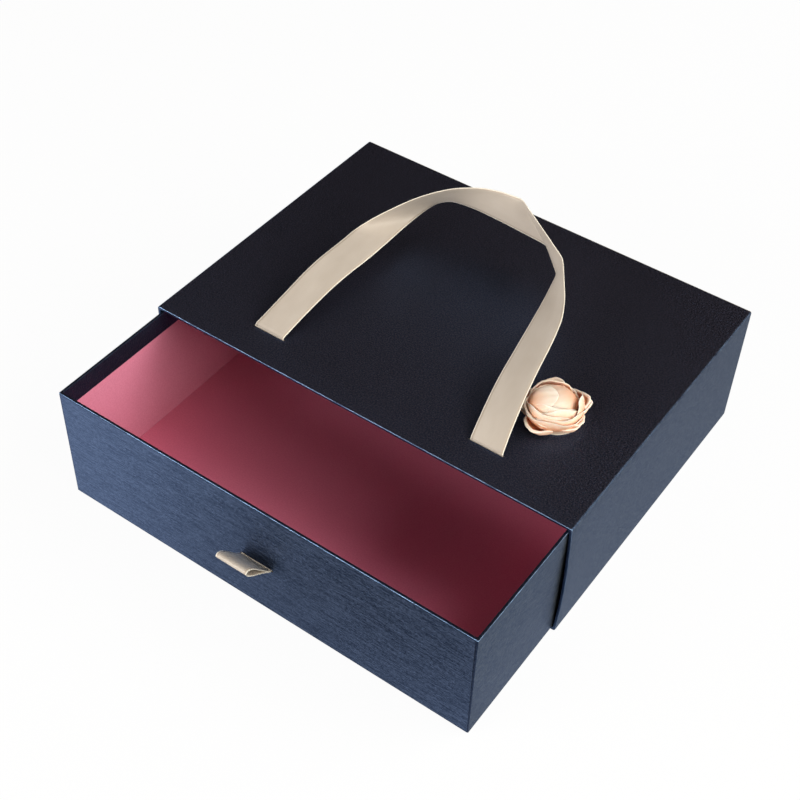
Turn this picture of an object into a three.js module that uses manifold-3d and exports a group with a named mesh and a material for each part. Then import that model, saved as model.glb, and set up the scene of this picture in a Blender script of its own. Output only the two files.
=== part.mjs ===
// Gift box of covered board: a sleeve with a drawer, a ribbon handle on two slots,
// a satin rose beside it and a ribbon pull tab on the drawer front.
//
// Millimetres, +Z up. The origin is the middle of the sleeve's underside, which stands on
// the table. The drawer opens towards -Y and is drawn part of the way out.
import * as THREE from 'three';
import { mergeVertices } from 'three/addons/utils/BufferGeometryUtils.js';
import Module from 'manifold-3d';

const wasm = await Module();
wasm.setup();

// Driving dimensions of the sleeve
const sleeveWidth = 340;
const sleeveDepth = 252;
const sleeveHeight = 105;
const boardThickness = 1.5;
const paperThickness = 0.3;
const edgeRadius = 1.5;
const sleeveTurnIn = 15;
const basePaperInset = 6;
const basePaperGap = 0.3;

// Driving dimensions of the drawer
const drawerPullOut = 100.5;
const drawerSideClearance = 0.5;
const drawerFloorClearance = 0.3;
const drawerTopClearance = 2.3;
const drawerBackClearance = 1;
const drawerTurnIn = 16.3;

// Driving dimensions of the ribbon, which is the same tape on the handle and the tab
const ribbonWidth = 25;
const ribbonThickness = 0.5;
const slotSideClearance = 1;
const slotThicknessClearance = 0.5;
const hingeGap = 0.3;

// Driving dimensions of the handle, whose width is taken between the middles of its slots
const handleWidth = 180;
const handleSlotSetback = 26.2;
const handleReach = 162;
const handleRise = 49;
const handleTailLength = 45;

// Driving dimensions of the pull tab
const tabHeight = 44.6;
const tabReach = 32;
const tabLoopHeight = 7;
const tabLift = THREE.MathUtils.degToRad(43);
const tabTailLength = 18;

// Driving dimensions of the rose
const roseOutsideSlot = 21;
const roseBehindSlot = 50.8;
const roseRadius = 25;
const roseHeight = 20;
const roseFeltRadius = 17;
const roseFeltThickness = 1.2;
const petalThickness = 0.6;
const petalSeatGap = 0.3;
const petalSpiral = 1;

// Facets
const cornerSteps = 3;
const ribbonSteps = 120;
const tabSteps = 36;
const petalStepsAround = 9;
const petalStepsUp = 7;
const budSteps = 28;
const feltSteps = 40;
const budProfileSteps = 10;
const slopeShare = 1 / 1024;
const cutOverrun = 1;

// Sizes that follow from the driving dimensions
const sleeveWall = boardThickness + 2 * paperThickness;
const sleeveLeft = -sleeveWidth / 2;
const sleeveRight = sleeveWidth / 2;
const sleeveMouth = -sleeveDepth / 2;
const sleeveBack = sleeveDepth / 2;
const drawerWidth = sleeveWidth - 2 * sleeveWall - 2 * drawerSideClearance;
const drawerDepth = sleeveDepth - sleeveWall - drawerBackClearance;
const drawerFloor = sleeveWall + drawerFloorClearance;
const drawerTop = sleeveHeight - sleeveWall - drawerTopClearance;
const drawerFront = sleeveMouth - drawerPullOut;
const drawerBack = drawerFront + drawerDepth;
const innerRadius = edgeRadius - paperThickness;
const slotWidth = ribbonWidth + 2 * slotSideClearance;

const colours = {
  navy: 0x272c3f,
  greyboard: 0x9a948a,
  darkPaper: 0x14161f,
  rosePaper: 0xa65570,
  satin: 0xd7cab6,
  petal: 0xf6dcc2,
  felt: 0xe9dccb,
};

const giftBox = new THREE.Group();

function addPiece(name, geometry, colour, roughness) {
  const material = new THREE.MeshStandardMaterial({ color: colour, roughness, metalness: 0 });
  const mesh = new THREE.Mesh(geometry, material);
  mesh.name = name;
  giftBox.add(mesh);
  return mesh;
}

// Solids from profiles

// A rectangle in a plane whose four corners have their own radii, in the order
// low-left, low-right, high-right, high-left.
function rectangle(left, right, low, high, radii = [0, 0, 0, 0]) {
  const shape = new THREE.Shape();
  const [lowLeft, lowRight, highRight, highLeft] = radii;
  const quarter = Math.PI / 2;
  shape.moveTo(left + lowLeft, low);
  shape.lineTo(right - lowRight, low);
  if (lowRight) shape.absarc(right - lowRight, low + lowRight, lowRight, -quarter, 0);
  shape.lineTo(right, high - highRight);
  if (highRight) shape.absarc(right - highRight, high - highRight, highRight, 0, quarter);
  shape.lineTo(left + highLeft, high);
  if (highLeft) shape.absarc(left + highLeft, high - highLeft, highLeft, quarter, 2 * quarter);
  shape.lineTo(left, low + lowLeft);
  if (lowLeft) shape.absarc(left + lowLeft, low + lowLeft, lowLeft, 2 * quarter, 3 * quarter);
  return shape;
}

const allCorners = (radius) => [radius, radius, radius, radius];

// A profile drawn in X and Z, run from the front towards the back.
function runAlongY(shape, front, back) {
  const settings = { depth: back - front, bevelEnabled: false, curveSegments: cornerSteps };
  return new THREE.ExtrudeGeometry(shape, settings).rotateX(Math.PI / 2).translate(0, back, 0);
}

// A profile drawn in X and Y, run upwards.
function runUp(shape, low, high) {
  const settings = { depth: high - low, bevelEnabled: false, curveSegments: cornerSteps };
  return new THREE.ExtrudeGeometry(shape, settings).translate(0, 0, low);
}

// A profile drawn in Y and Z, run across by a width that is centred on a place.
function runAcross(shape, centre, width) {
  const settings = { depth: width, bevelEnabled: false };
  const geometry = new THREE.ExtrudeGeometry(shape, settings);
  const turn = new THREE.Matrix4().set(0, 0, 1, 0, 1, 0, 0, 0, 0, 1, 0, 0, 0, 0, 0, 1);
  return geometry.applyMatrix4(turn).translate(centre - width / 2, 0, 0);
}

function block(left, right, front, back, low, high) {
  const geometry = new THREE.BoxGeometry(right - left, back - front, high - low);
  return geometry.translate((left + right) / 2, (front + back) / 2, (low + high) / 2);
}

function toSolid(geometry) {
  const bare = geometry.clone();
  bare.deleteAttribute('normal');
  bare.deleteAttribute('uv');
  const merged = mergeVertices(bare);
  return new wasm.Manifold(new wasm.Mesh({
    numProp: 3,
    vertProperties: merged.attributes.position.array,
    triVerts: new Uint32Array(merged.index.array),
  }));
}

function toGeometry(solid) {
  const mesh = solid.getMesh();
  const geometry = new THREE.BufferGeometry();
  geometry.setAttribute('position', new THREE.BufferAttribute(mesh.vertProperties, 3));
  geometry.setIndex(new THREE.BufferAttribute(mesh.triVerts, 1));
  geometry.computeVertexNormals();
  return geometry;
}

function combine(added, removed = []) {
  let solid = toSolid(added[0]);
  for (const geometry of added.slice(1)) solid = solid.add(toSolid(geometry));
  for (const geometry of removed) solid = solid.subtract(toSolid(geometry));
  return toGeometry(solid);
}

// A sheet with a thickness, from a function that gives its middle surface. The first share
// runs along the sheet and the second across it, both from 0 to 1.
function thickSheet(pointAt, stepsAlong, stepsAcross, thickness) {
  const rows = stepsAlong + 1;
  const columns = stepsAcross + 1;
  const positions = [];
  for (const side of [0.5, -0.5]) {
    for (let i = 0; i < rows; i += 1) {
      for (let j = 0; j < columns; j += 1) {
        const along = i / stepsAlong;
        const across = j / stepsAcross;
        const alongLow = Math.max(along - slopeShare, 0);
        const alongHigh = Math.min(along + slopeShare, 1);
        const acrossLow = Math.max(across - slopeShare, 0);
        const acrossHigh = Math.min(across + slopeShare, 1);
        const tangent = pointAt(alongHigh, across).sub(pointAt(alongLow, across));
        const crossing = pointAt(along, acrossHigh).sub(pointAt(along, acrossLow));
        const normal = tangent.cross(crossing).normalize();
        const point = pointAt(along, across).addScaledVector(normal, side * thickness);
        positions.push(point.x, point.y, point.z);
      }
    }
  }
  const faces = [];
  const place = (layer, i, j) => layer * rows * columns + i * columns + j;
  const quad = (a, b, c, d) => faces.push(a, b, c, a, c, d);
  for (let i = 0; i < stepsAlong; i += 1) {
    for (let j = 0; j < stepsAcross; j += 1) {
      quad(place(0, i, j), place(0, i + 1, j), place(0, i + 1, j + 1), place(0, i, j + 1));
      quad(place(1, i, j), place(1, i, j + 1), place(1, i + 1, j + 1), place(1, i + 1, j));
    }
    quad(place(0, i, 0), place(1, i, 0), place(1, i + 1, 0), place(0, i + 1, 0));
    quad(place(0, i, stepsAcross), place(0, i + 1, stepsAcross),
      place(1, i + 1, stepsAcross), place(1, i, stepsAcross));
  }
  for (let j = 0; j < stepsAcross; j += 1) {
    quad(place(0, 0, j), place(0, 0, j + 1), place(1, 0, j + 1), place(1, 0, j));
    quad(place(0, stepsAlong, j), place(1, stepsAlong, j),
      place(1, stepsAlong, j + 1), place(0, stepsAlong, j + 1));
  }
  const geometry = new THREE.BufferGeometry();
  geometry.setAttribute('position', new THREE.Float32BufferAttribute(positions, 3));
  geometry.setIndex(faces);
  geometry.computeVertexNormals();
  return geometry;
}

// Sleeve

// The boards lie inside the covering paper. The top and the base run to the edges, the
// sides stand between them, and the back closes the end.
const boardLeft = sleeveLeft + paperThickness;
const boardRight = sleeveRight - paperThickness;
const boardLow = paperThickness;
const boardHigh = sleeveHeight - paperThickness;
const boardFront = sleeveMouth + paperThickness;
const boardBack = sleeveBack - paperThickness;
const cavityLeft = boardLeft + boardThickness;
const cavityRight = boardRight - boardThickness;
const cavityLow = boardLow + boardThickness;
const cavityHigh = boardHigh - boardThickness;
const cavityBack = boardBack - boardThickness;
const slotLine = sleeveMouth + handleSlotSetback;
const slotDepth = ribbonThickness + 2 * slotThicknessClearance;
const handleSides = [-1, 1];

function handleSlot(side) {
  const centre = side * handleWidth / 2;
  return block(centre - slotWidth / 2, centre + slotWidth / 2,
    slotLine - slotDepth / 2, slotLine + slotDepth / 2,
    cavityHigh - cutOverrun, sleeveHeight + cutOverrun);
}

function makeSleeveBoards() {
  const round = innerRadius;
  const base = rectangle(boardLeft, boardRight, boardLow, cavityLow, [round, round, 0, 0]);
  addPiece('sleeve_base_board', runAlongY(base, boardFront, cavityBack), colours.greyboard, 0.9);

  const left = rectangle(boardLeft, cavityLeft, cavityLow, cavityHigh);
  addPiece('sleeve_left_board', runAlongY(left, boardFront, cavityBack), colours.greyboard, 0.9);
  const right = rectangle(cavityRight, boardRight, cavityLow, cavityHigh);
  addPiece('sleeve_right_board', runAlongY(right, boardFront, cavityBack), colours.greyboard, 0.9);

  // The top has the two slots, and a shallow pressed recess behind each for the glued tail.
  const top = rectangle(boardLeft, boardRight, cavityHigh, boardHigh, [0, 0, round, round]);
  const cuts = handleSides.map(handleSlot);
  for (const side of handleSides) {
    const centre = side * handleWidth / 2;
    cuts.push(block(centre - slotWidth / 2, centre + slotWidth / 2,
      slotLine - slotDepth / 2, slotLine + handleTailLength + slotSideClearance,
      cavityHigh - cutOverrun, cavityHigh + ribbonThickness));
  }
  const topSolid = combine([runAlongY(top, boardFront, cavityBack)], cuts);
  addPiece('sleeve_top_board', topSolid, colours.greyboard, 0.9);

  const back = rectangle(boardLeft, boardRight, boardLow, boardHigh, allCorners(round));
  addPiece('sleeve_back_board', runAlongY(back, cavityBack, boardBack), colours.greyboard, 0.9);
}

// The covering paper goes round the outside, over the edges of the mouth and back inside.
function makeSleeveWrap() {
  const outside = rectangle(sleeveLeft, sleeveRight, 0, sleeveHeight, allCorners(edgeRadius));
  const boards = rectangle(boardLeft, boardRight, boardLow, boardHigh, allCorners(innerRadius));
  const cavity = rectangle(cavityLeft, cavityRight, cavityLow, cavityHigh);
  const turnInHole = rectangle(cavityLeft + paperThickness, cavityRight - paperThickness,
    cavityLow + paperThickness, cavityHigh - paperThickness);
  const skin = toSolid(runAlongY(outside, sleeveMouth, sleeveBack))
    .subtract(toSolid(runAlongY(boards, boardFront, boardBack)));
  const turnInEnd = sleeveMouth + sleeveTurnIn;
  const turnIn = toSolid(runAlongY(cavity, sleeveMouth, turnInEnd));
  const hole = runAlongY(turnInHole, sleeveMouth - cutOverrun, turnInEnd + cutOverrun);
  let wrap = skin.add(turnIn).subtract(toSolid(hole));
  for (const side of handleSides) wrap = wrap.subtract(toSolid(handleSlot(side)));
  const window = block(sleeveLeft + basePaperInset, sleeveRight - basePaperInset,
    sleeveMouth + basePaperInset, sleeveBack - basePaperInset, -cutOverrun, boardLow);
  addPiece('sleeve_wrap', toGeometry(wrap.subtract(toSolid(window))), colours.navy, 0.55);
}

function makeSleeveBasePaper() {
  const inset = basePaperInset + basePaperGap;
  const sheet = block(sleeveLeft + inset, sleeveRight - inset,
    sleeveMouth + inset, sleeveBack - inset, 0, paperThickness);
  addPiece('sleeve_base_paper', sheet, colours.navy, 0.6);
}

// The lining starts behind the turned-in edge and ends in a sheet on the back wall.
function makeSleeveLining() {
  const outer = rectangle(cavityLeft, cavityRight, cavityLow, cavityHigh);
  const inner = rectangle(cavityLeft + paperThickness, cavityRight - paperThickness,
    cavityLow + paperThickness, cavityHigh - paperThickness);
  const start = sleeveMouth + sleeveTurnIn;
  const tube = runAlongY(outer, start, cavityBack);
  const hollow = runAlongY(inner, start - cutOverrun, cavityBack - paperThickness);
  addPiece('sleeve_lining', combine([tube], [hollow]), colours.darkPaper, 0.8);
}

// Each end of the handle goes down its slot and lies glued under the top board.
function makeHandleTails() {
  for (const side of handleSides) {
    const profile = new THREE.Shape();
    const front = slotLine - ribbonThickness / 2;
    const behind = slotLine + ribbonThickness / 2;
    const end = slotLine + handleTailLength;
    profile.moveTo(front, sleeveHeight);
    profile.lineTo(front, cavityHigh);
    profile.lineTo(end, cavityHigh);
    profile.lineTo(end, cavityHigh + ribbonThickness);
    profile.lineTo(behind, cavityHigh + ribbonThickness);
    profile.lineTo(behind, sleeveHeight);
    profile.closePath();
    const tail = runAcross(profile, side * handleWidth / 2, ribbonWidth);
    addPiece(side < 0 ? 'handle_tail_left' : 'handle_tail_right', tail, colours.satin, 0.45);
  }
}

// Handle

// The ribbon leaves both slots lying flat and leans back over the lid. It turns on edge at
// the crest, widens again to the right, and two slanted creases bring it down as the right
// leg. Each row is a rung across the tape. Its first three numbers are the place of its
// middle: across, as a share of half the handle's width, behind the slots, as a share of the
// reach, and up, as a share of the rise. The next three lead from there to the outer edge,
// in shares of half the tape's width. The last is how long the bend at the rung is, as a
// share of the tape's width.
const handleRungShares = [
  [-1.0, 0.0, 0.0, -1.0, 0.0, 0.0, 0.3],
  [-0.98, 0.15, 0.16, -0.99, 0.07, 0.01, 0.5],
  [-0.96, 0.37, 0.32, -0.99, 0.05, 0.13, 0.6],
  [-0.93, 0.59, 0.35, -0.98, -0.16, 0.2, 0.6],
  [-0.93, 0.78, 0.37, -0.96, -1.19, 0.19, 0.6],
  [-0.77, 0.88, 0.65, -0.52, -1.04, 0.4, 0.6],
  [-0.62, 0.95, 0.83, 0.05, -0.63, 0.77, 0.6],
  [-0.43, 1.0, 0.92, 0.44, -0.29, 0.95, 0.6],
  [-0.18, 1.02, 0.94, 0.1, -0.01, 1.0, 0.6],
  [0.19, 1.04, 0.87, -1.0, 0.1, 1.13, 0.12],
  [0.58, 0.91, 0.68, 0.28, -0.3, 0.92, 0.12],
  [0.73, 0.74, 0.49, 0.96, -0.52, 0.53, 0.6],
  [0.81, 0.54, 0.44, 0.92, 0.15, 0.4, 0.6],
  [0.89, 0.29, 0.35, 0.93, 0.25, 0.31, 0.6],
  [0.96, 0.1, 0.17, 0.98, 0.05, 0.18, 0.5],
  [1.0, 0.0, 0.0, 1.0, 0.0, 0.0, 0.3],
];
const bendSamples = 9;

const hingeHeight = sleeveHeight + hingeGap + ribbonThickness / 2;

// The rungs at their real places, each with its distance along the tape's middle.
function handleRungs() {
  let along = 0;
  let before;
  return handleRungShares.map(([across, back, rise, outX, outY, outZ, bend]) => {
    const middle = new THREE.Vector3(across * handleWidth / 2, slotLine + back * handleReach,
      hingeHeight + rise * handleRise);
    if (before) along += middle.distanceTo(before);
    before = middle;
    const outward = new THREE.Vector3(outX, outY, outZ).multiplyScalar(ribbonWidth / 2);
    return { along, middle, outward, bend: bend * ribbonWidth };
  });
}

// The tape is flat between two rungs, and a bend is the mean of the flat stretches that lie
// within its length. At a slot the bend shrinks to nothing, so that the end stays in place.
function makeHandleRibbon() {
  const rungs = handleRungs();
  const length = rungs[rungs.length - 1].along;
  const between = (along) => {
    const next = Math.max(rungs.findIndex((rung) => rung.along >= along), 1);
    const low = rungs[next - 1];
    const high = rungs[next];
    return { low, high, share: (along - low.along) / (high.along - low.along) };
  };
  const flatPoint = (along, side) => {
    const { low, high, share } = between(Math.min(Math.max(along, 0), length));
    const outward = low.outward.clone().lerp(high.outward, share);
    return low.middle.clone().lerp(high.middle, share).addScaledVector(outward, side);
  };
  const pointAt = (alongShare, acrossShare) => {
    const along = alongShare * length;
    const { low, high, share } = between(along);
    const bend = low.bend + (high.bend - low.bend) * share;
    const reach = Math.min(bend, along, length - along);
    const point = new THREE.Vector3();
    for (let sample = 0; sample < bendSamples; sample += 1) {
      const shift = reach * (2 * sample / (bendSamples - 1) - 1);
      point.addScaledVector(flatPoint(along + shift, 1 - 2 * acrossShare), 1 / bendSamples);
    }
    return point;
  };
  const ribbon = thickSheet(pointAt, ribbonSteps, 2, ribbonThickness);
  addPiece('handle_ribbon', ribbon, colours.satin, 0.45);
}

// Rose

const roseX = handleWidth / 2 + roseOutsideSlot;
const roseY = slotLine + roseBehindSlot;
const roseSeat = sleeveHeight + roseFeltThickness + petalSeatGap;

// A petal is part of a bowl. Its profile runs from the felt out and up to the rim, it is
// narrow at the foot and broad at the rim, and one side is tucked behind the next petal.
function petal(whorl, index) {
  const turn = (index + whorl.startShare) / whorl.count * 2 * Math.PI;
  const halfAngle = whorl.overlapShare * Math.PI / whorl.count;
  return (along, across) => {
    const side = 2 * across - 1;
    const bow = 1 - side * side;
    const foot = (1 - along) * (1 - along);
    const belly = 2 * along * (1 - along);
    const rim = along * along;
    const bowl = foot * whorl.footShare + belly * whorl.bellyShare + rim * whorl.rimShare
      + rim * rim * whorl.lipRollShare;
    const rimRise = whorl.rimRiseShare * (1 - whorl.sideDropShare * (1 - bow));
    const rise = belly * whorl.bellyRiseShare + rim * rimRise
      - rim * rim * rim * whorl.lipDropShare;
    const opened = Math.sin(along * Math.PI / 2);
    const spread = whorl.footWidthShare + (1 - whorl.footWidthShare) * opened;
    const angle = turn + side * halfAngle * spread;
    const radius = bowl * roseRadius + petalSpiral * side;
    const tuck = petalSpiral * side * opened * whorl.tuckShare;
    return new THREE.Vector3(
      roseX + radius * Math.cos(angle),
      roseY + radius * Math.sin(angle),
      roseSeat + petalThickness / 2 + rise * roseHeight - tuck,
    );
  };
}

// Radii are shares of the rose's radius, and rises are shares of its height.
const whorls = [
  {
    name: 'rose_petal_outer', count: 5, startShare: 0.1, overlapShare: 1.34, footWidthShare: 0.5,
    footShare: 0.48, bellyShare: 0.9, rimShare: 0.9, bellyRiseShare: 0.06, rimRiseShare: 0.575,
    sideDropShare: 0.3, tuckShare: 0.8, lipRollShare: 0.08, lipDropShare: 0.05,
  },
  {
    name: 'rose_petal_middle', count: 5, startShare: 0.55, overlapShare: 1.34, footWidthShare: 0.5,
    footShare: 0.32, bellyShare: 0.7, rimShare: 0.66, bellyRiseShare: 0.2, rimRiseShare: 0.825,
    sideDropShare: 0.2, tuckShare: 0.6, lipRollShare: 0.056, lipDropShare: 0.03,
  },
  {
    name: 'rose_petal_inner', count: 4, startShare: 0.2, overlapShare: 1.4, footWidthShare: 0.5,
    footShare: 0.184, bellyShare: 0.52, rimShare: 0.408, bellyRiseShare: 0.35, rimRiseShare: 0.975,
    sideDropShare: 0.14, tuckShare: 0.5, lipRollShare: 0.02, lipDropShare: 0.01,
  },
];

// The bud is a rolled heart: a closed drop that stands on the felt. Each row is a radius
// and a height, as shares of the rose's.
const budProfileShares = [[0.112, 0], [0.28, 0.39], [0.24, 0.685], [0.136, 0.9]];
const budDimpleShare = 0.83;

function makeRose() {
  const felt = new THREE.CylinderGeometry(roseFeltRadius, roseFeltRadius, roseFeltThickness, feltSteps);
  felt.rotateX(Math.PI / 2).translate(roseX, roseY, sleeveHeight + roseFeltThickness / 2);
  addPiece('rose_felt', felt, colours.felt, 0.95);

  for (const whorl of whorls) {
    for (let index = 0; index < whorl.count; index += 1) {
      const sheet = thickSheet(petal(whorl, index), petalStepsUp, petalStepsAround, petalThickness);
      addPiece(`${whorl.name}_${index + 1}`, sheet, colours.petal, 0.4);
    }
  }

  const corners = budProfileShares.map(([out, up]) => (
    new THREE.Vector2(out * roseRadius, up * roseHeight)));
  const profile = new THREE.SplineCurve(corners).getPoints(budProfileSteps);
  profile.unshift(new THREE.Vector2(0, 0));
  profile.push(new THREE.Vector2(0, budDimpleShare * roseHeight));
  const bud = new THREE.LatheGeometry(profile, budSteps);
  bud.rotateX(Math.PI / 2).translate(roseX, roseY, roseSeat);
  addPiece('rose_bud', bud, colours.petal, 0.4);
}

// Drawer

const trayLeft = -drawerWidth / 2;
const trayRight = drawerWidth / 2;
const trayBoardLeft = trayLeft + paperThickness;
const trayBoardRight = trayRight - paperThickness;
const trayBoardFront = drawerFront + paperThickness;
const trayBoardBack = drawerBack - paperThickness;
const trayBoardLow = drawerFloor + paperThickness;
const trayBoardHigh = drawerTop - paperThickness;
const trayInsideLeft = trayBoardLeft + boardThickness;
const trayInsideRight = trayBoardRight - boardThickness;
const trayInsideFront = trayBoardFront + boardThickness;
const trayInsideBack = trayBoardBack - boardThickness;
const trayInsideLow = trayBoardLow + boardThickness;
const tabPlane = drawerFloor + tabHeight;
const tabSlotHeight = 2 * ribbonThickness + 2 * slotThicknessClearance;

function tabSlot() {
  return block(-slotWidth / 2, slotWidth / 2, drawerFront - cutOverrun, trayInsideFront + cutOverrun,
    tabPlane - tabSlotHeight / 2, tabPlane + tabSlotHeight / 2);
}

function makeDrawerBoards() {
  const round = innerRadius;
  const base = rectangle(trayBoardLeft, trayBoardRight, trayBoardFront, trayBoardBack,
    allCorners(round));
  addPiece('drawer_base_board', runUp(base, trayBoardLow, trayInsideLow), colours.greyboard, 0.9);

  // The front has the slot of the tab, and a shallow pressed recess for its glued tails.
  const front = rectangle(trayBoardLeft, trayBoardRight, trayBoardFront, trayInsideFront,
    [round, round, 0, 0]);
  const reach = tabTailLength + slotSideClearance;
  const recess = block(-slotWidth / 2, slotWidth / 2,
    trayInsideFront - ribbonThickness, trayInsideFront + cutOverrun,
    tabPlane - reach, tabPlane + reach);
  const frontSolid = combine([runUp(front, trayInsideLow, trayBoardHigh)], [tabSlot(), recess]);
  addPiece('drawer_front_board', frontSolid, colours.greyboard, 0.9);

  const back = rectangle(trayBoardLeft, trayBoardRight, trayInsideBack, trayBoardBack,
    [0, 0, round, round]);
  addPiece('drawer_back_board', runUp(back, trayInsideLow, trayBoardHigh), colours.greyboard, 0.9);

  const left = rectangle(trayBoardLeft, trayInsideLeft, trayInsideFront, trayInsideBack);
  addPiece('drawer_left_board', runUp(left, trayInsideLow, trayBoardHigh), colours.greyboard, 0.9);
  const right = rectangle(trayInsideRight, trayBoardRight, trayInsideFront, trayInsideBack);
  addPiece('drawer_right_board', runUp(right, trayInsideLow, trayBoardHigh), colours.greyboard, 0.9);
}

// The covering paper goes round the four walls, over the rim and down the inside as a band.
function makeDrawerWrap() {
  const outside = rectangle(trayLeft, trayRight, drawerFront, drawerBack, allCorners(edgeRadius));
  const boards = rectangle(trayBoardLeft, trayBoardRight, trayBoardFront, trayBoardBack,
    allCorners(innerRadius));
  const inside = rectangle(trayInsideLeft, trayInsideRight, trayInsideFront, trayInsideBack);
  const bandHole = rectangle(trayInsideLeft + paperThickness, trayInsideRight - paperThickness,
    trayInsideFront + paperThickness, trayInsideBack - paperThickness);
  const bandLow = drawerTop - drawerTurnIn;
  const skin = toSolid(runUp(outside, drawerFloor, drawerTop))
    .subtract(toSolid(runUp(boards, trayBoardLow, trayBoardHigh)));
  const band = toSolid(runUp(inside, bandLow, drawerTop));
  const hole = toSolid(runUp(bandHole, bandLow - cutOverrun, drawerTop + cutOverrun));
  const window = block(trayLeft + basePaperInset, trayRight - basePaperInset,
    drawerFront + basePaperInset, drawerBack - basePaperInset,
    drawerFloor - cutOverrun, trayBoardLow);
  const wrap = skin.add(band).subtract(hole).subtract(toSolid(window)).subtract(toSolid(tabSlot()));
  addPiece('drawer_wrap', toGeometry(wrap), colours.navy, 0.55);
}

function makeDrawerPapers() {
  const inset = basePaperInset + basePaperGap;
  const under = block(trayLeft + inset, trayRight - inset, drawerFront + inset, drawerBack - inset,
    drawerFloor, trayBoardLow);
  addPiece('drawer_base_paper', under, colours.navy, 0.6);

  const floorHigh = trayInsideLow + paperThickness;
  const floor = block(trayInsideLeft, trayInsideRight, trayInsideFront, trayInsideBack,
    trayInsideLow, floorHigh);
  addPiece('drawer_lining_floor', floor, colours.rosePaper, 0.7);

  const outer = rectangle(trayInsideLeft, trayInsideRight, trayInsideFront, trayInsideBack);
  const inner = rectangle(trayInsideLeft + paperThickness, trayInsideRight - paperThickness,
    trayInsideFront + paperThickness, trayInsideBack - paperThickness);
  const liningHigh = drawerTop - drawerTurnIn;
  const walls = combine([runUp(outer, floorHigh, liningHigh)],
    [runUp(inner, floorHigh - cutOverrun, liningHigh + cutOverrun)]);
  addPiece('drawer_lining_walls', walls, colours.rosePaper, 0.7);
}

// Pull tab

// Both ends of the tab go through the slot, and lie glued up and down inside the front.
function makeTabTail() {
  const inside = trayInsideFront;
  const profile = new THREE.Shape();
  profile.moveTo(drawerFront, tabPlane - ribbonThickness);
  profile.lineTo(inside - ribbonThickness, tabPlane - ribbonThickness);
  profile.lineTo(inside - ribbonThickness, tabPlane - tabTailLength);
  profile.lineTo(inside, tabPlane - tabTailLength);
  profile.lineTo(inside, tabPlane + tabTailLength);
  profile.lineTo(inside - ribbonThickness, tabPlane + tabTailLength);
  profile.lineTo(inside - ribbonThickness, tabPlane + ribbonThickness);
  profile.lineTo(drawerFront, tabPlane + ribbonThickness);
  profile.closePath();
  addPiece('pull_tab_tail', runAcross(profile, 0, ribbonWidth), colours.satin, 0.45);
}

// The loop in profile, along the tab and square to it. It starts as two layers face to face
// and opens to a drop, whose middle line is a sine curve.
function makePullTab() {
  const dropPeak = 4 / (3 * Math.sqrt(3));
  const openShare = 0.07;
  const pivotY = drawerFront - hingeGap - ribbonThickness;
  const middle = (share) => {
    const turn = share * Math.PI;
    const drop = Math.sin(2 * turn) * Math.sin(turn) / dropPeak;
    const square = (drop * tabLoopHeight + Math.cos(turn) * ribbonThickness) / 2;
    return new THREE.Vector2(tabReach * Math.sin(turn), square);
  };
  const offset = (share, distance) => {
    const low = Math.max(share - slopeShare, 0);
    const high = Math.min(share + slopeShare, 1);
    const direction = middle(high).sub(middle(low)).normalize();
    const normal = new THREE.Vector2(-direction.y, direction.x);
    return middle(share).addScaledVector(normal, distance);
  };
  const place = (point) => {
    const out = point.x * Math.cos(tabLift) - point.y * Math.sin(tabLift);
    const rise = point.x * Math.sin(tabLift) + point.y * Math.cos(tabLift);
    return new THREE.Vector2(pivotY - out, tabPlane + rise);
  };
  const outline = [];
  const hole = [];
  for (let step = 0; step <= tabSteps; step += 1) {
    const share = step / tabSteps;
    outline.push(place(offset(share, ribbonThickness / 2)));
    const inner = openShare + (1 - 2 * openShare) * share;
    hole.push(place(offset(inner, -ribbonThickness / 2)));
  }
  const profile = new THREE.Shape(outline);
  profile.holes.push(new THREE.Path(hole));
  addPiece('pull_tab', runAcross(profile, 0, ribbonWidth), colours.satin, 0.45);
}

makeSleeveBoards();
makeSleeveWrap();
makeSleeveBasePaper();
makeSleeveLining();
makeHandleTails();
makeHandleRibbon();
makeRose();
makeDrawerBoards();
makeDrawerWrap();
makeDrawerPapers();
makeTabTail();
makePullTab();

export default giftBox;
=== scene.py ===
# %% [markdown]
# # A covered gift box with a drawer, a ribbon handle and a satin rose
# This lesson dresses a finished box model with its looks. The boards, the linings and the
# glued ribbon ends come from the model as they are and only get a finish. The papers that
# wrap round the edges, the two ribbons and the rose are modelled here, over the same places.

# %% Load the model
import math

import bmesh
import bpy
from mathutils import Matrix, Vector


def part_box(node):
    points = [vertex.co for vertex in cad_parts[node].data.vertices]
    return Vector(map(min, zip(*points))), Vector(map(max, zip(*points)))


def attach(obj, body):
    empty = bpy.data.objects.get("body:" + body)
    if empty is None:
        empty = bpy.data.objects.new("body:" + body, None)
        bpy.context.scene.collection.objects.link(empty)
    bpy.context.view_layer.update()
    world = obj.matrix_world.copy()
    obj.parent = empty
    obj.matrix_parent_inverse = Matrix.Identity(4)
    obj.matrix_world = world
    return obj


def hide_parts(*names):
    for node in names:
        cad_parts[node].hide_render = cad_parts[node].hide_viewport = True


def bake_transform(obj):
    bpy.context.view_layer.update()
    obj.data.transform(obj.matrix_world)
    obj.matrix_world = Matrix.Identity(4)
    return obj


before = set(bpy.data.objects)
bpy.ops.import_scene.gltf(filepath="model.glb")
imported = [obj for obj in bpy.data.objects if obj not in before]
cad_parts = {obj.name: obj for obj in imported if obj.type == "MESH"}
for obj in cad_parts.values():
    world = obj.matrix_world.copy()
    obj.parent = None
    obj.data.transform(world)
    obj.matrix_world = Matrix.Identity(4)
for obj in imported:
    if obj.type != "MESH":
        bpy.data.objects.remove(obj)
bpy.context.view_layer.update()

MM = 0.001

# %% [markdown]
# The photograph was taken from the front and the right, about 45 degrees up, with the camera
# rolled a little. The camera is placed from the point that it looks at, the two angles and the
# distance, and its axes are built from them, so that each number keeps its plain meaning.

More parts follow.
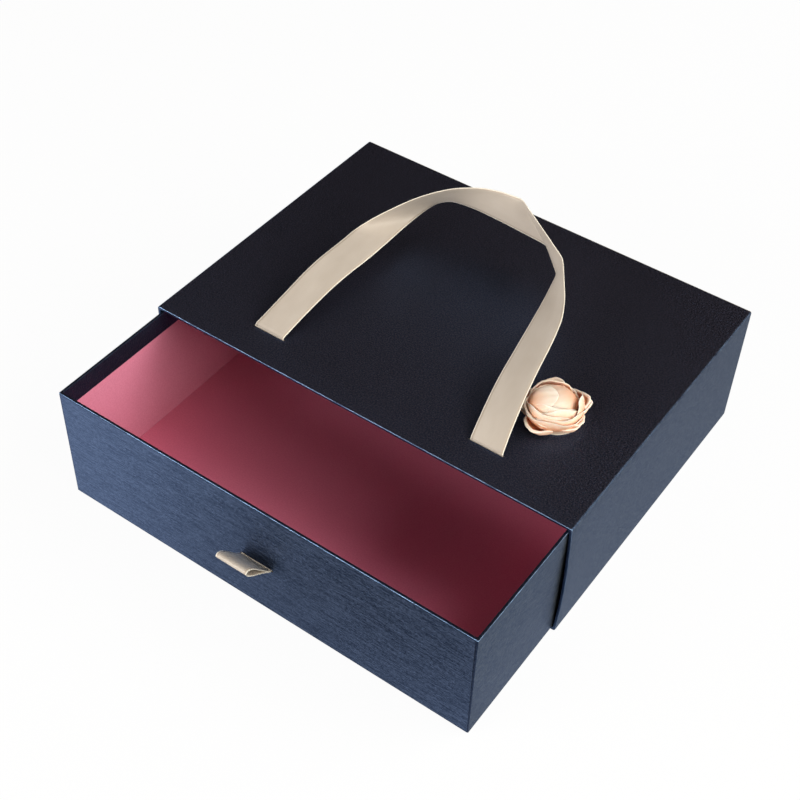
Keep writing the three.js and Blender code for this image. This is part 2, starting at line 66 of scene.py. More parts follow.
# %% Camera
PHOTO_WIDTH = 800
FOCAL_PIXELS = 1439.1
SENSOR = 36.0
AZIMUTH = math.radians(33.836)
ELEVATION = math.radians(45.385)
ROLL = math.radians(2.33)
DISTANCE = 1.10383
TARGET = Vector((-0.0372, -0.0124, 0.0))

towards_camera = Vector((
    math.sin(AZIMUTH) * math.cos(ELEVATION),
    -math.cos(AZIMUTH) * math.cos(ELEVATION),
    math.sin(ELEVATION),
))
level_right = Vector((math.cos(AZIMUTH), math.sin(AZIMUTH), 0))
level_up = towards_camera.cross(level_right)
camera_right = math.cos(ROLL) * level_right + math.sin(ROLL) * level_up
camera_up = -math.sin(ROLL) * level_right + math.cos(ROLL) * level_up

camera_data = bpy.data.cameras.new("camera")
camera_data.sensor_width = SENSOR
camera_data.lens = FOCAL_PIXELS / PHOTO_WIDTH * SENSOR
camera = bpy.data.objects.new("camera", camera_data)
bpy.context.scene.collection.objects.link(camera)
axes = Matrix((camera_right, camera_up, towards_camera)).transposed()
camera.matrix_world = Matrix.Translation(TARGET + towards_camera * DISTANCE) @ axes.to_4x4()
bpy.context.scene.camera = camera
print("lens in mm:", round(camera_data.lens, 2))

# %% [markdown]
# Colours are written as they look on a screen, from 0 to 255, because that is how they are
# read off a photograph. The shader works with amounts of light, so each channel is turned
# into one by the usual curve of a screen.

# %% Colours


def light_value(channel):
    share = channel / 255
    return share / 12.92 if share <= 0.04045 else ((share + 0.055) / 1.055) ** 2.4


def paint(red, green, blue):
    return (light_value(red), light_value(green), light_value(blue), 1)


print("half grey on the screen sends back", round(paint(128, 128, 128)[0], 3), "of the light")

# %% [markdown]
# A finish is a material with a Principled shader. Numbers that are the same all over it are
# set on the shader's own sockets, and a few nodes lead to its colour and its bump. Each kind
# of node gets a short method here, so that the finishes below read like recipes: a grain is a
# noise pattern, a ramp stretches a part of it to a new range, and a mix lays one colour over
# another.

# %% Helpers for finishes
MIX_FACTOR, MIX_FIRST, MIX_SECOND, MIX_RESULT = 0, 6, 7, 2


class Finish:
    """A material with a Principled shader, and short ways to add nodes before it."""

    def __init__(self, name, **sockets):
        self.material = bpy.data.materials.new(name)
        self.material.use_nodes = True
        self.nodes = self.material.node_tree.nodes
        self.links = self.material.node_tree.links
        self.shader = self.nodes["Principled BSDF"]
        for socket, value in sockets.items():
            self.shader.inputs[socket.replace("_", " ")].default_value = value

    def add(self, kind, inputs=None, **settings):
        made = self.nodes.new(kind)
        for setting, value in settings.items():
            setattr(made, setting, value)
        for socket, value in (inputs or {}).items():
            if hasattr(value, "is_output"):
                self.links.new(value, made.inputs[socket])
            else:
                made.inputs[socket].default_value = value
        return made

    def place(self):
        return self.add("ShaderNodeTexCoord").outputs["Object"]

    def uv(self):
        return self.add("ShaderNodeTexCoord").outputs["UV"]

    def attribute(self, name):
        return self.add("ShaderNodeAttribute", attribute_name=name).outputs["Fac"]

    def stretched(self, vector, scale):
        mapping = self.add("ShaderNodeMapping", {"Vector": vector, "Scale": scale})
        return mapping.outputs["Vector"]

    def grain(self, vector, scale, detail=3.0, roughness=0.6):
        inputs = {"Vector": vector, "Scale": scale, "Detail": detail, "Roughness": roughness}
        return self.add("ShaderNodeTexNoise", inputs).outputs["Fac"]

    def ramp(self, value, low, high, low_value=0.0, high_value=1.0):
        inputs = {"Value": value, "From Min": low, "From Max": high,
                  "To Min": low_value, "To Max": high_value}
        return self.add("ShaderNodeMapRange", inputs).outputs["Result"]

    def maths(self, operation, *values):
        made = self.add("ShaderNodeMath", dict(enumerate(values)), operation=operation)
        return made.outputs["Value"]

    def mix(self, share, first, second):
        inputs = {MIX_FACTOR: share, MIX_FIRST: first, MIX_SECOND: second}
        return self.add("ShaderNodeMix", inputs, data_type="RGBA").outputs[MIX_RESULT]

    def blend(self, share, first, second):
        inputs = {"Factor": share, "A": first, "B": second}
        return self.add("ShaderNodeMix", inputs).outputs["Result"]

    def axes_of(self, vector):
        return self.add("ShaderNodeSeparateXYZ", {"Vector": vector}).outputs

    def colour(self, value):
        self.links.new(value, self.shader.inputs["Base Color"])

    def bump(self, height, depth, strength=1.0):
        inputs = {"Height": height, "Distance": depth, "Strength": strength}
        made = self.add("ShaderNodeBump", inputs)
        self.links.new(made.outputs["Normal"], self.shader.inputs["Normal"])


print("a finish has", sum(callable(member) for member in vars(Finish).values()), "methods")

# %% [markdown]
# The covering paper is a navy paper with a pearl glaze, drawn out in fine fibres. The fibres run
# across the front and the lid and along the sides, so the pattern is stretched one way on level
# faces and another on upright ones. The glaze's reflection is painted into the colour: a bluer
# tone on the front, a slate one on the sides and hardly any on top. The normal in the piece's own
# space tells which face is which. The fibres stand proud, so they are both a tone and a bump. Two
# attributes of the mesh do the rest. One marks where the paper goes round an edge, which is
# painted a paler blue, partly for the glaze rubbed off and partly as a painted highlight where
# the edge catches the light. The other marks the turned-in paper and the seams, which get a
# painted shade. The tones are darker than the paper looks, because its glaze adds the light that
# it mirrors.

# %% Covering paper
GROUND, FIBRE = 0, 1
# The front and side pairs are lit copies of the top's paper: painted reflection of the glaze,
# bluer on the front and slate on the sides.
TOP_TONES = (paint(11, 10, 14), paint(57, 53, 62))
FRONT_TONES_PAINTED_REFLECTION = (paint(17, 20, 29), paint(73, 82, 102))
SIDE_TONES_PAINTED_REFLECTION = (paint(28, 28, 23), paint(73, 75, 71))
GLAZE_BLUE = paint(131, 182, 255)
SPARKLE_BLUE = paint(96, 108, 134)
# Painted shade: near black for the turned-in paper and the seams.
PAINTED_SHADE_NAVY = paint(5, 9, 20)
# Pale blue for rounded edges: partly rubbed wear, partly a painted highlight.
WORN_HIGHLIGHT_BLUE = paint(176, 210, 248)
STREAK_SCALE = (70, 160, 900)
FLECK_SCALE = (420, 520, 1000)
LEVEL_FIBRE_SCALE = (900, 1100, 600)
FIBRE_DEPTH = 0.4 * MM


def covering_paper(name, top_tones, front_tones_painted_reflection, side_tones_painted_reflection):
    """A finish from three pairs of colours, each for the ground and for the fibres; the front and
    side pairs hold a painted reflection of the glaze.
    """
    finish = Finish(name, Roughness=0.4, IOR=1.85, Specular_IOR_Level=1.0, Metallic=0.35,
                    Specular_Tint=GLAZE_BLUE)
    place = finish.place()
    facing = finish.axes_of(finish.add("ShaderNodeTexCoord").outputs["Normal"])
    # Painted shade on the turned-in paper and the seams; those faces also take the top's tones,
    # without the painted reflection.
    sheltered = finish.attribute("sheltered")
    looks_up = finish.ramp(finish.maths("ABSOLUTE", facing["Z"]), 0.4, 0.6)
    level = finish.maths("MAXIMUM", looks_up, sheltered)
    sideways = finish.ramp(finish.maths("ABSOLUTE", facing["X"]), 0.4, 0.6)
    # Painted reflection: the front and side tones stand in for the glaze mirroring the floor.
    ground = finish.mix(sideways, front_tones_painted_reflection[GROUND], side_tones_painted_reflection[GROUND])
    ground = finish.mix(level, ground, top_tones[GROUND])
    fibre = finish.mix(sideways, front_tones_painted_reflection[FIBRE], side_tones_painted_reflection[FIBRE])
    fibre = finish.mix(level, fibre, top_tones[FIBRE])
    streaks = finish.grain(finish.stretched(place, STREAK_SCALE), 1.0, 2.0)
    flecks = finish.grain(finish.stretched(place, FLECK_SCALE), 1.0, 1.0)
    fibres_upright = finish.maths("MULTIPLY", finish.maths("ADD", streaks, flecks), 0.5)
    fibres_level = finish.grain(finish.stretched(place, LEVEL_FIBRE_SCALE), 1.0, 1.0)
    fibres = finish.blend(level, fibres_upright, fibres_level)
    mottle = finish.grain(place, 14.0, 3.0)
    sparkle = finish.ramp(finish.grain(place, 1200.0, 1.0), 0.6, 0.72)
    wear_highlight_patch = finish.ramp(finish.grain(place, 90.0, 5.0), 0.28, 0.6)
    # Rounded edges: partly rubbed wear, partly a painted highlight where the edge catches the
    # light.
    worn_highlight = finish.maths("MULTIPLY", finish.attribute("wear"), wear_highlight_patch)
    tone = finish.mix(finish.ramp(fibres, 0.4, 0.62), ground, fibre)
    tone = finish.mix(finish.ramp(mottle, 0.3, 0.75, 0.0, 0.16), tone, fibre)
    tone = finish.mix(finish.maths("MULTIPLY", sparkle, 0.35), tone, SPARKLE_BLUE)
    # Painted shade darkens the turned-in paper and the seams.
    tone = finish.mix(finish.maths("MULTIPLY", sheltered, 0.55), tone, PAINTED_SHADE_NAVY)
    finish.colour(finish.mix(worn_highlight, tone, WORN_HIGHLIGHT_BLUE))
    height = finish.maths("ADD", fibres, finish.maths("MULTIPLY", sparkle, 0.2))
    finish.bump(height, FIBRE_DEPTH)
    return finish.material


navy_paper = covering_paper("navy_paper", TOP_TONES, FRONT_TONES_PAINTED_REFLECTION, SIDE_TONES_PAINTED_REFLECTION)
base_paper = covering_paper("base_paper", TOP_TONES, TOP_TONES, TOP_TONES)
print("covering papers:", navy_paper.name, base_paper.name)

# %% [markdown]
# Inside, the box is lined with a plain tinted paper: rose in the drawer, dark in the sleeve. It
# has a faint cloud and a fine tooth, and hardly any gloss. The board under the papers is grey
# millboard, pressed in layers with dark flecks of old paper in it, and the rose sits on felt,
# whose short hairs catch the light as a sheen.

# %% Lining papers, board and felt
TOOTH_DEPTH = 0.05 * MM
LAYER_DEPTH = 0.1 * MM
HAIR_DEPTH = 0.2 * MM


def lining_paper(name, base, fleck):
    finish = Finish(name, Roughness=0.62, Specular_IOR_Level=0.35)
    place = finish.place()
    cloud = finish.ramp(finish.grain(place, 22.0, 4.0), 0.3, 0.72, 0.0, 0.35)
    tooth = finish.grain(place, 900.0, 2.0)
    tone = finish.mix(cloud, base, fleck)
    tone = finish.mix(finish.ramp(tooth, 0.35, 0.65, 0.0, 0.8), tone, fleck)
    finish.colour(tone)
    finish.bump(tooth, TOOTH_DEPTH, 0.7)
    return finish.material


def board():
    finish = Finish("greyboard", Roughness=0.92)
    place = finish.place()
    layers = finish.grain(finish.stretched(place, (300, 300, 2600)), 1.0, 4.0)
    flecks = finish.ramp(finish.grain(place, 700.0, 2.0), 0.6, 0.66)
    tone = finish.mix(finish.ramp(layers, 0.3, 0.7), paint(140, 132, 120), paint(166, 158, 146))
    finish.colour(finish.mix(finish.maths("MULTIPLY", flecks, 0.6), tone, paint(84, 78, 70)))
    finish.bump(layers, LAYER_DEPTH)
    return finish.material


def felt():
    finish = Finish("felt", Roughness=0.95, Sheen_Weight=0.4)
    place = finish.place()
    hairs = finish.grain(place, 1300.0, 5.0, 0.75)
    tone = finish.mix(finish.ramp(hairs, 0.3, 0.7), paint(214, 196, 172), paint(240, 228, 208))
    finish.colour(tone)
    finish.bump(hairs, HAIR_DEPTH)
    return finish.material


rose_paper = lining_paper("rose_paper", paint(218, 140, 164), paint(206, 122, 146))
# Painted light: the drawer's floor gets its own copy of the rose paper, brighter and deeper, in
# place of the light that reaches it.
floor_rose_paper = lining_paper("floor_rose_paper", paint(242, 142, 170), paint(230, 126, 154))
dark_paper = lining_paper("dark_paper", paint(24, 26, 38), paint(32, 36, 50))
greyboard = board()
cream_felt = felt()
inner_finishes = (rose_paper, floor_rose_paper, dark_paper, greyboard, cream_felt)
print("inside the box:", [material.name for material in inner_finishes])

# %% [markdown]
# Satin is woven so that long threads float on its face. Those threads run along the tape and
# give it a soft gloss, and a firm narrow edge, the selvedge, holds each side. The piece's own
# UV map follows the tape: U runs along it in metres and V goes from 0 to 1 across it, so the
# threads and the selvedge follow every bend.

# %% Satin of the ribbons
THREAD = 0.16 * MM
WEAVE_DEPTH = 0.05 * MM
RIBBON_WIDTH = 25 * MM
THREADS_ACROSS = RIBBON_WIDTH / THREAD


def satin_tape():
    finish = Finish("satin_tape", Roughness=0.42, Specular_IOR_Level=0.45, Sheen_Weight=0.25,
                    Sheen_Roughness=0.35, Anisotropic=0.5)
    uv = finish.uv()
    across = finish.axes_of(uv)["Y"]
    from_middle = finish.maths("ABSOLUTE", finish.maths("SUBTRACT", across, 0.5))
    from_edge = finish.maths("SUBTRACT", 0.5, from_middle)
    selvedge = finish.ramp(from_edge, 0.034, 0.014)
    # Painted shade: a darker, warmer band in the groove inside each selvedge.
    groove_shade = finish.maths("MULTIPLY", finish.ramp(from_edge, 0.075, 0.045),
                          finish.ramp(from_edge, 0.028, 0.036))
    threads = finish.grain(finish.stretched(uv, (130, THREADS_ACROSS, 1)), 1.0, 2.0)
    picks = finish.grain(finish.stretched(uv, (1 / THREAD, 9, 1)), 1.0, 1.0)
    weave = finish.maths("ADD", threads, finish.maths("MULTIPLY", picks, 0.4))
    wavy = finish.grain(finish.stretched(uv, (24, 1.4, 1)), 1.0, 2.0)
    tone = finish.mix(finish.ramp(wavy, 0.3, 0.7), paint(188, 177, 164), paint(200, 190, 178))
    tone = finish.mix(finish.ramp(weave, 0.5, 0.95, 0.0, 0.35), tone, paint(190, 172, 150))
    tone = finish.mix(finish.maths("MULTIPLY", groove_shade, 0.45), tone, paint(186, 158, 130))
    finish.colour(finish.mix(selvedge, tone, paint(244, 237, 220)))
    height = finish.maths("ADD", weave, finish.maths("MULTIPLY", selvedge, 2.0))
    finish.bump(height, WEAVE_DEPTH)
    return finish.material


tape_satin = satin_tape()
print("threads across the ribbon:", round(THREADS_ACROSS))

# %% [markdown]
# The petals are cut from a thinner satin, which is warm and a little see-through: light that goes
# deep into a fold comes back apricot. V runs up a petal from its foot to its rim, and the shade
# of the folds is painted into the colour: apricot below the rim and deeper towards the foot, and
# a little darker in the valleys of the fine creases. The rim, where the cut edge is rolled, gets
# a painted highlight, a paler tone. Petals that lie over the top of the rose get little of the
# painted shade under the rim, because there is no fold above them.

# %% Satin of the petals
PETAL_CREASE_DEPTH = 0.6 * MM


def satin_petal(name, shade):
    """Satin with painted shade towards the foot of the petal and a painted highlight on its rim.
    """
    finish = Finish(name, Roughness=0.36, Specular_IOR_Level=0.5, Sheen_Weight=0.2,
                    Sheen_Roughness=0.4, Subsurface_Weight=0.1, Subsurface_Scale=0.002)
    uv = finish.uv()
    threads = finish.grain(finish.stretched(uv, (420, 60, 1)), 1.0, 2.0)
    creases = finish.grain(finish.stretched(uv, (9.0, 1.2, 1)), 1.0, 3.0)
    up = finish.axes_of(uv)["Y"]
    rim = finish.ramp(up, 0.9, 0.985)
    # Painted shade: darker in the crease valleys, below the rim and towards the foot; painted
    # highlight: the paler rim.
    tone = finish.mix(finish.ramp(creases, 0.3, 0.7), paint(249, 222, 198), paint(251, 235, 221))
    tone = finish.mix(finish.ramp(up, 0.92, 0.79, 0.0, shade), tone, paint(244, 190, 148))
    tone = finish.mix(finish.ramp(up, 0.8, 0.3, 0.0, 0.9), tone, paint(240, 160, 110))
    tone = finish.mix(finish.ramp(threads, 0.45, 0.8, 0.0, 0.25), tone, paint(243, 198, 162))
    finish.colour(finish.mix(finish.maths("MULTIPLY", rim, 0.6), tone, paint(255, 243, 226)))
    height = finish.maths("ADD", finish.maths("MULTIPLY", threads, 0.2), creases)
    finish.bump(height, PETAL_CREASE_DEPTH, 0.8)
    return finish.material


petal_satin = satin_petal("satin_petal", 0.4)
lobe_satin = satin_petal("satin_lobe", 0.1)
print("finishes of the petals:", petal_satin.name, lobe_satin.name)

# %% [markdown]
# The boards, the linings, the glued ribbon ends and the felt keep the model's own shapes.
# Each gets its finish through its material slot, and its mesh is left alone. The glued ends
# have no UV map, so they get a plainer satin that reads the place on the piece.

# %% Finish of the pieces that stay


def satin_plain():
    finish = Finish("satin_plain", Roughness=0.42, Specular_IOR_Level=0.45, Sheen_Weight=0.25)
    threads = finish.grain(finish.stretched(finish.place(), (1 / THREAD, 130, 130)), 1.0, 2.0)
    tone = finish.mix(finish.ramp(threads, 0.3, 0.7), paint(200, 184, 162), paint(222, 210, 192))
    finish.colour(tone)
    finish.bump(threads, WEAVE_DEPTH)
    return finish.material


KEPT_FINISHES = {
    "board": greyboard,
    "sleeve_lining": dark_paper,
    "base_paper": base_paper,
    "drawer_lining": rose_paper,
    "drawer_lining_floor": floor_rose_paper,
    "tail": satin_plain(),
    "rose_felt": cream_felt,
}


def dress(piece, material):
    piece.data.materials.clear()
    piece.data.materials.append(material)


for node_name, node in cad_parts.items():
    for words, material in KEPT_FINISHES.items():
        if words in node_name:
            dress(node, material)
print("pieces of the model:", len(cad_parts))

# %% [markdown]
# Each new piece starts from a primitive at its real size, and is shaped in edit mode. The
# helpers below do what a hand does: put the rest out of the selection, add a box, and pick
# faces or edges by where they are or which way they look.

# %% Helpers for modelling


def deselect_all():
    if bpy.context.mode != "OBJECT":
        bpy.ops.object.mode_set(mode="OBJECT")
    bpy.ops.object.select_all(action="DESELECT")


def add_box(name, low, high):
    deselect_all()
    middle = (Vector(low) + Vector(high)) / 2
    size = Vector(high) - Vector(low)
    bpy.ops.mesh.primitive_cube_add(size=1, location=middle, scale=size)
    box = bpy.context.object
    box.name = name
    box.data.name = name
    bpy.ops.object.transform_apply(location=True, rotation=True, scale=True)
    return box


def pick(piece, kind, test):
    """Selects the faces or edges of a piece in edit mode that pass a test."""
    bpy.ops.mesh.select_mode(type="FACE" if kind == "faces" else "EDGE")
    bpy.ops.mesh.select_all(action="DESELECT")
    mesh = bmesh.from_edit_mesh(piece.data)
    picked = [part for part in getattr(mesh, kind) if test(part)]
    for part in picked:
        part.select_set(True)
    bmesh.update_edit_mesh(piece.data)
    return len(picked)


def extrude(offset):
    bpy.ops.mesh.extrude_region_move(TRANSFORM_OT_translate={"value": offset})


def apply_modifier(piece, kind, **settings):
    deselect_all()
    piece.select_set(True)
    bpy.context.view_layer.objects.active = piece
    modifier = piece.modifiers.new(kind.lower(), kind)
    for setting, value in settings.items():
        setattr(modifier, setting, value)
    bpy.ops.object.modifier_apply(modifier=modifier.name)


def cut_box(piece, low, high):
    """Cuts a box out of a closed piece, as a punch would."""
    cutter = add_box("punch", low, high)
    apply_modifier(piece, "BOOLEAN", object=cutter, operation="DIFFERENCE", solver="EXACT")
    bpy.data.objects.remove(cutter)


print("helpers are ready in", bpy.context.mode.lower(), "mode")

# %% [markdown]
# A wrapped paper wears where hands and shelves rub it: along its edges, and most of all along the
# rim, and a rounded edge also catches the light. Both are painted as one mark, partly rubbed wear
# and partly a painted highlight. A face that leans half way between two of the box's axes lies in
# the middle of an edge, so the lean of a face tells how near it is to one. The rim gets the most
# where it looks up, the other edges less, and what looks inwards hardly at all. The faces that
# look inwards, the flat of the rim and the narrow strips beside a front sheet, which look forward
# from behind its plane, are marked for a painted shade.

# %% Marks of wear, painted highlight and painted shade
TOUCH = 0.02 * MM
INNER_WEAR_AND_HIGHLIGHT = 0.1
CORNER_WEAR_AND_HIGHLIGHT = 0.22
SIDE_RIM_WEAR_AND_HIGHLIGHT = 0.3
RIM_WEAR_AND_HIGHLIGHT = 1.0
RIM_REACH = 1.2 * MM
FULL_LEAN = 1 - math.sqrt(0.5)
TURNED = 0.3
MOSTLY_TURNED = 0.5


def is_in_seam(face, middle, rim, seam_plane):
    """True for a face that looks forward from behind the front sheet, below the rim."""
    if seam_plane is None:
        return False
    forward = face.normal.y < -TURNED and face.center.y > seam_plane - TOUCH
    return forward and abs(face.center.z - middle.z) < abs(rim - middle.z) - RIM_REACH


def mark_wear_and_highlight(piece, middle, axis, rim, seam_plane):
    """Writes two attributes, one for wear with painted highlight and one for painted shade, one
    value for each face of a piece.
    """
    wear, sheltered = [], []
    for face in piece.data.polygons:
        lean = min((1 - max(abs(v) for v in face.normal)) / FULL_LEAN, 1.0)
        away = face.center - middle
        away[axis] = 0
        inwards = away.dot(face.normal) < 0
        on_rim = abs(face.center[axis] - rim) < RIM_REACH
        share = INNER_WEAR_AND_HIGHLIGHT if inwards else CORNER_WEAR_AND_HIGHLIGHT
        if on_rim and not inwards:
            share = RIM_WEAR_AND_HIGHLIGHT if face.normal.z > TURNED else SIDE_RIM_WEAR_AND_HIGHLIGHT
        in_seam = not on_rim and is_in_seam(face, middle, rim, seam_plane)
        flat_rim = on_rim and abs(face.normal[axis]) > MOSTLY_TURNED
        wear.append(0.0 if in_seam else lean * share)
        # Painted shade goes on inward faces, on the flat of the rim and on the seam strips.
        sheltered.append(float(inwards or in_seam or flat_rim))
    for name, values in (("wear", wear), ("sheltered", sheltered)):
        piece.data.attributes.new(name, "FLOAT", "FACE").data.foreach_set("value", values)


print("a face leans fully at", round(math.degrees(math.acos(1 - FULL_LEAN))), "degrees")

# %% [markdown]
# Both covering papers turn over a rim and go back inside, so they share a way of working. A
# box with one open side has a boundary loop there. The loop is extruded in by the wall, and
# then back by the depth of the turn-in. The two sharp loops on the rim are beveled, because
# paper never turns on a knife's edge, and Solidify gives the whole sheet its thickness.

# %% Helpers for wrapped paper
PAPER = 0.3 * MM
RIM_RADIUS = 0.5 * MM
WELD = 0.01 * MM
BASE_WINDOW = 6 * MM
SLOT_MARGIN = 1 * MM
SMOOTH_ANGLE = 35
SQUARE = 0.9
LARGE_AREA = 0.02
Y_AXIS, Z_AXIS = 1, 2

sleeve_low, sleeve_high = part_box("sleeve_wrap")
drawer_low, drawer_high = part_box("drawer_wrap")
wall = sleeve_high.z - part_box("sleeve_right_board")[1].z + PAPER


def on_plane(part, axis, place):
    return all(abs(vertex.co[axis] - place) < TOUCH for vertex in part.verts)


def turn_in(piece, axis, centre, size, depth):
    """Extrudes an open boundary inwards by the wall, and back inside by a depth."""
    pick(piece, "edges", lambda edge: edge.is_boundary)
    extrude((0, 0, 0))
    factors = [(size[i] - 2 * wall) / size[i] for i in range(3)]
    factors[axis] = 1
    bpy.ops.transform.resize(value=factors, center_override=centre)
    extrude(depth)


def round_rim(piece, axis, place):
    """Rounds the two loops of edges that lie on the rim's plane."""
    def sharp(edge):
        faces = edge.link_faces
        lies = on_plane(edge, axis, place) and len(faces) == 2
        return lies and abs(faces[0].normal.dot(faces[1].normal)) < MOSTLY_TURNED
    pick(piece, "edges", sharp)
    bpy.ops.mesh.bevel(offset=RIM_RADIUS, segments=3, profile=0.5)


def finish_paper(piece):
    bpy.ops.mesh.select_all(action="SELECT")
    bpy.ops.mesh.remove_doubles(threshold=WELD)
    bpy.ops.object.mode_set(mode="OBJECT")
    apply_modifier(piece, "SOLIDIFY", thickness=PAPER, offset=-1, use_even_offset=True)


def settle_cover(cover, body, node_name, axis, rim, seam_plane=None):
    """Shades and marks a covering paper, and puts it in the place of the model's own."""
    low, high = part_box(node_name)
    deselect_all()
    cover.select_set(True)
    bpy.context.view_layer.objects.active = cover
    bpy.ops.object.shade_smooth_by_angle(angle=math.radians(SMOOTH_ANGLE))
    mark_wear_and_highlight(cover, (low + high) / 2, axis, rim, seam_plane)
    dress(cover, navy_paper)
    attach(cover, body)
    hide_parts(node_name)
    print(cover.name, "has", len(cover.data.polygons), "faces")


print("wall with its papers in mm:", round(wall / MM, 2))

# %% [markdown]
# On the photographed box the right side of the mouth bows out a little, as board does where
# nothing holds it. A flat wall has no points between its corners to bow with, so it is first
# cut across in both directions. Then each point moves out by a soft hill over the height of
# the mouth, a little stronger towards the foot, which fades away along the side.

# %% Bow of the mouth
BOW_OUT = 1.7 * MM
BOW_DEPTH = 90 * MM
BOW_CUTS = 9
BOW_AT_FOOT = 1.25
BOW_LOSS_TO_TOP = 0.5


def cut_for_bow(piece):
    """Cuts across the right wall, so that it has points to bow with."""
    def in_wall(face):
        return face.calc_center_median().x > sleeve_high.x - 2 * wall
    for cut in range(1, BOW_CUTS):
        height = sleeve_low.z + (sleeve_high.z - sleeve_low.z) * cut / BOW_CUTS
        pick(piece, "faces", in_wall)
        bpy.ops.mesh.bisect(plane_co=(0, 0, height), plane_no=(0, 0, 1))
        depth = sleeve_low.y + BOW_DEPTH * cut / BOW_CUTS
        pick(piece, "faces", in_wall)
        bpy.ops.mesh.bisect(plane_co=(0, depth, 0), plane_no=(0, 1, 0))


def bow_mouth(piece):
    """The right wall of the mouth bows out in the middle and fades back along the side."""
    span = sleeve_high.z - sleeve_low.z
    for vertex in piece.data.vertices:
        if vertex.co.x > sleeve_high.x - 1.5 * wall:
            height = (vertex.co.z - sleeve_low.z) / span
            depth = max(1 - (vertex.co.y - sleeve_low.y) / BOW_DEPTH, 0)
            hill = math.sin(math.pi * min(max(height, 0), 1))
            bow = hill * (BOW_AT_FOOT - BOW_LOSS_TO_TOP * height)
            vertex.co.x += BOW_OUT * bow * depth * depth


print("the mouth bows over", round(BOW_DEPTH / MM), "mm of the side")

# %% [markdown]
# The covering paper of the sleeve is one sheet that goes round all four sides, over the edge
# of the mouth and back inside, with a second sheet on the back wall. A box without its front
# is beveled along its edges and turned in at the mouth. The window under it is left open for
# the base paper, the back wall is inset and raised by the thickness of its sheet, and two
# slots for the handle are punched through the lid.

# %% Covering paper of the sleeve
EDGE_RADIUS = 1.5 * MM
SLEEVE_TURN_IN = 15 * MM
BACK_SHEET_MARGIN = 2 * MM
SHEET_STEP = 0.25 * MM
SLOT_DEPTH = 1.5 * MM
TAIL_HALF_THICKNESS = 0.25 * MM


def make_sleeve_cover():
    cover = add_box("sleeve_cover", sleeve_low, sleeve_high)
    size = sleeve_high - sleeve_low
    bpy.ops.object.mode_set(mode="EDIT")
    pick(cover, "faces", lambda face: face.normal.y < -SQUARE)
    bpy.ops.mesh.delete(type="FACE")
    pick(cover, "edges", lambda edge: not edge.is_boundary)
    bpy.ops.mesh.bevel(offset=EDGE_RADIUS, segments=4, profile=0.5)
    mouth_centre = (sleeve_low + sleeve_high) / 2
    mouth_centre.y = sleeve_low.y
    turn_in(cover, Y_AXIS, mouth_centre, size, (0, SLEEVE_TURN_IN, 0))
    round_rim(cover, Y_AXIS, sleeve_low.y)
    pick(cover, "faces", lambda face: face.normal.z < -SQUARE and face.calc_area() > LARGE_AREA
         and face.calc_center_median().z < wall / 2)
    bpy.ops.mesh.inset(thickness=BASE_WINDOW)
    bpy.ops.mesh.delete(type="FACE")
    pick(cover, "faces", lambda face: face.normal.y > SQUARE and face.calc_area() > LARGE_AREA)
    bpy.ops.mesh.inset(thickness=BACK_SHEET_MARGIN)
    extrude((0, SHEET_STEP, 0))
    cut_for_bow(cover)
    finish_paper(cover)
    for tail in ("handle_tail_left", "handle_tail_right"):
        low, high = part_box(tail)
        front = low.y + TAIL_HALF_THICKNESS - SLOT_DEPTH / 2
        cut_box(cover, (low.x - SLOT_MARGIN, front, high.z - 2 * MM),
                (high.x + SLOT_MARGIN, front + SLOT_DEPTH, high.z + MM))
    bow_mouth(cover)
    return cover


settle_cover(make_sleeve_cover(), "sleeve", "sleeve_wrap", Y_AXIS, sleeve_low.y)

# %% [markdown]
# The right board bows with the paper on both its sides. The model's board is straight, so this
# one takes its place: a box of the same size, cut and bowed like the paper.

# %% Right board of the sleeve


def make_bowed_board():
    board = add_box("right_board", *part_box("sleeve_right_board"))
    bpy.ops.object.mode_set(mode="EDIT")
    cut_for_bow(board)
    bpy.ops.object.mode_set(mode="OBJECT")
    bow_mouth(board)
    dress(board, greyboard)
    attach(board, "sleeve")
    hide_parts("sleeve_right_board")
    print(board.name, "has", len(board.data.polygons), "faces")


make_bowed_board()

# %% [markdown]
# The drawer's covering paper goes round its four walls, over the rim and down inside as a dark
# band, which also carries painted shade. The front is a sheet of its own: it is laid over the
# sides' paper last, and stops a little short of the corners, further at the rim than at the foot.
# Two slanted cuts and a shallow extrusion make that sheet.

# %% Covering paper of the drawer
DRAWER_TURN_IN = 16.3 * MM
CORNER_RADIUS = 0.6 * MM
SEAM_AT_RIM = 1.3 * MM
SEAM_AT_FOOT = 0.2 * MM


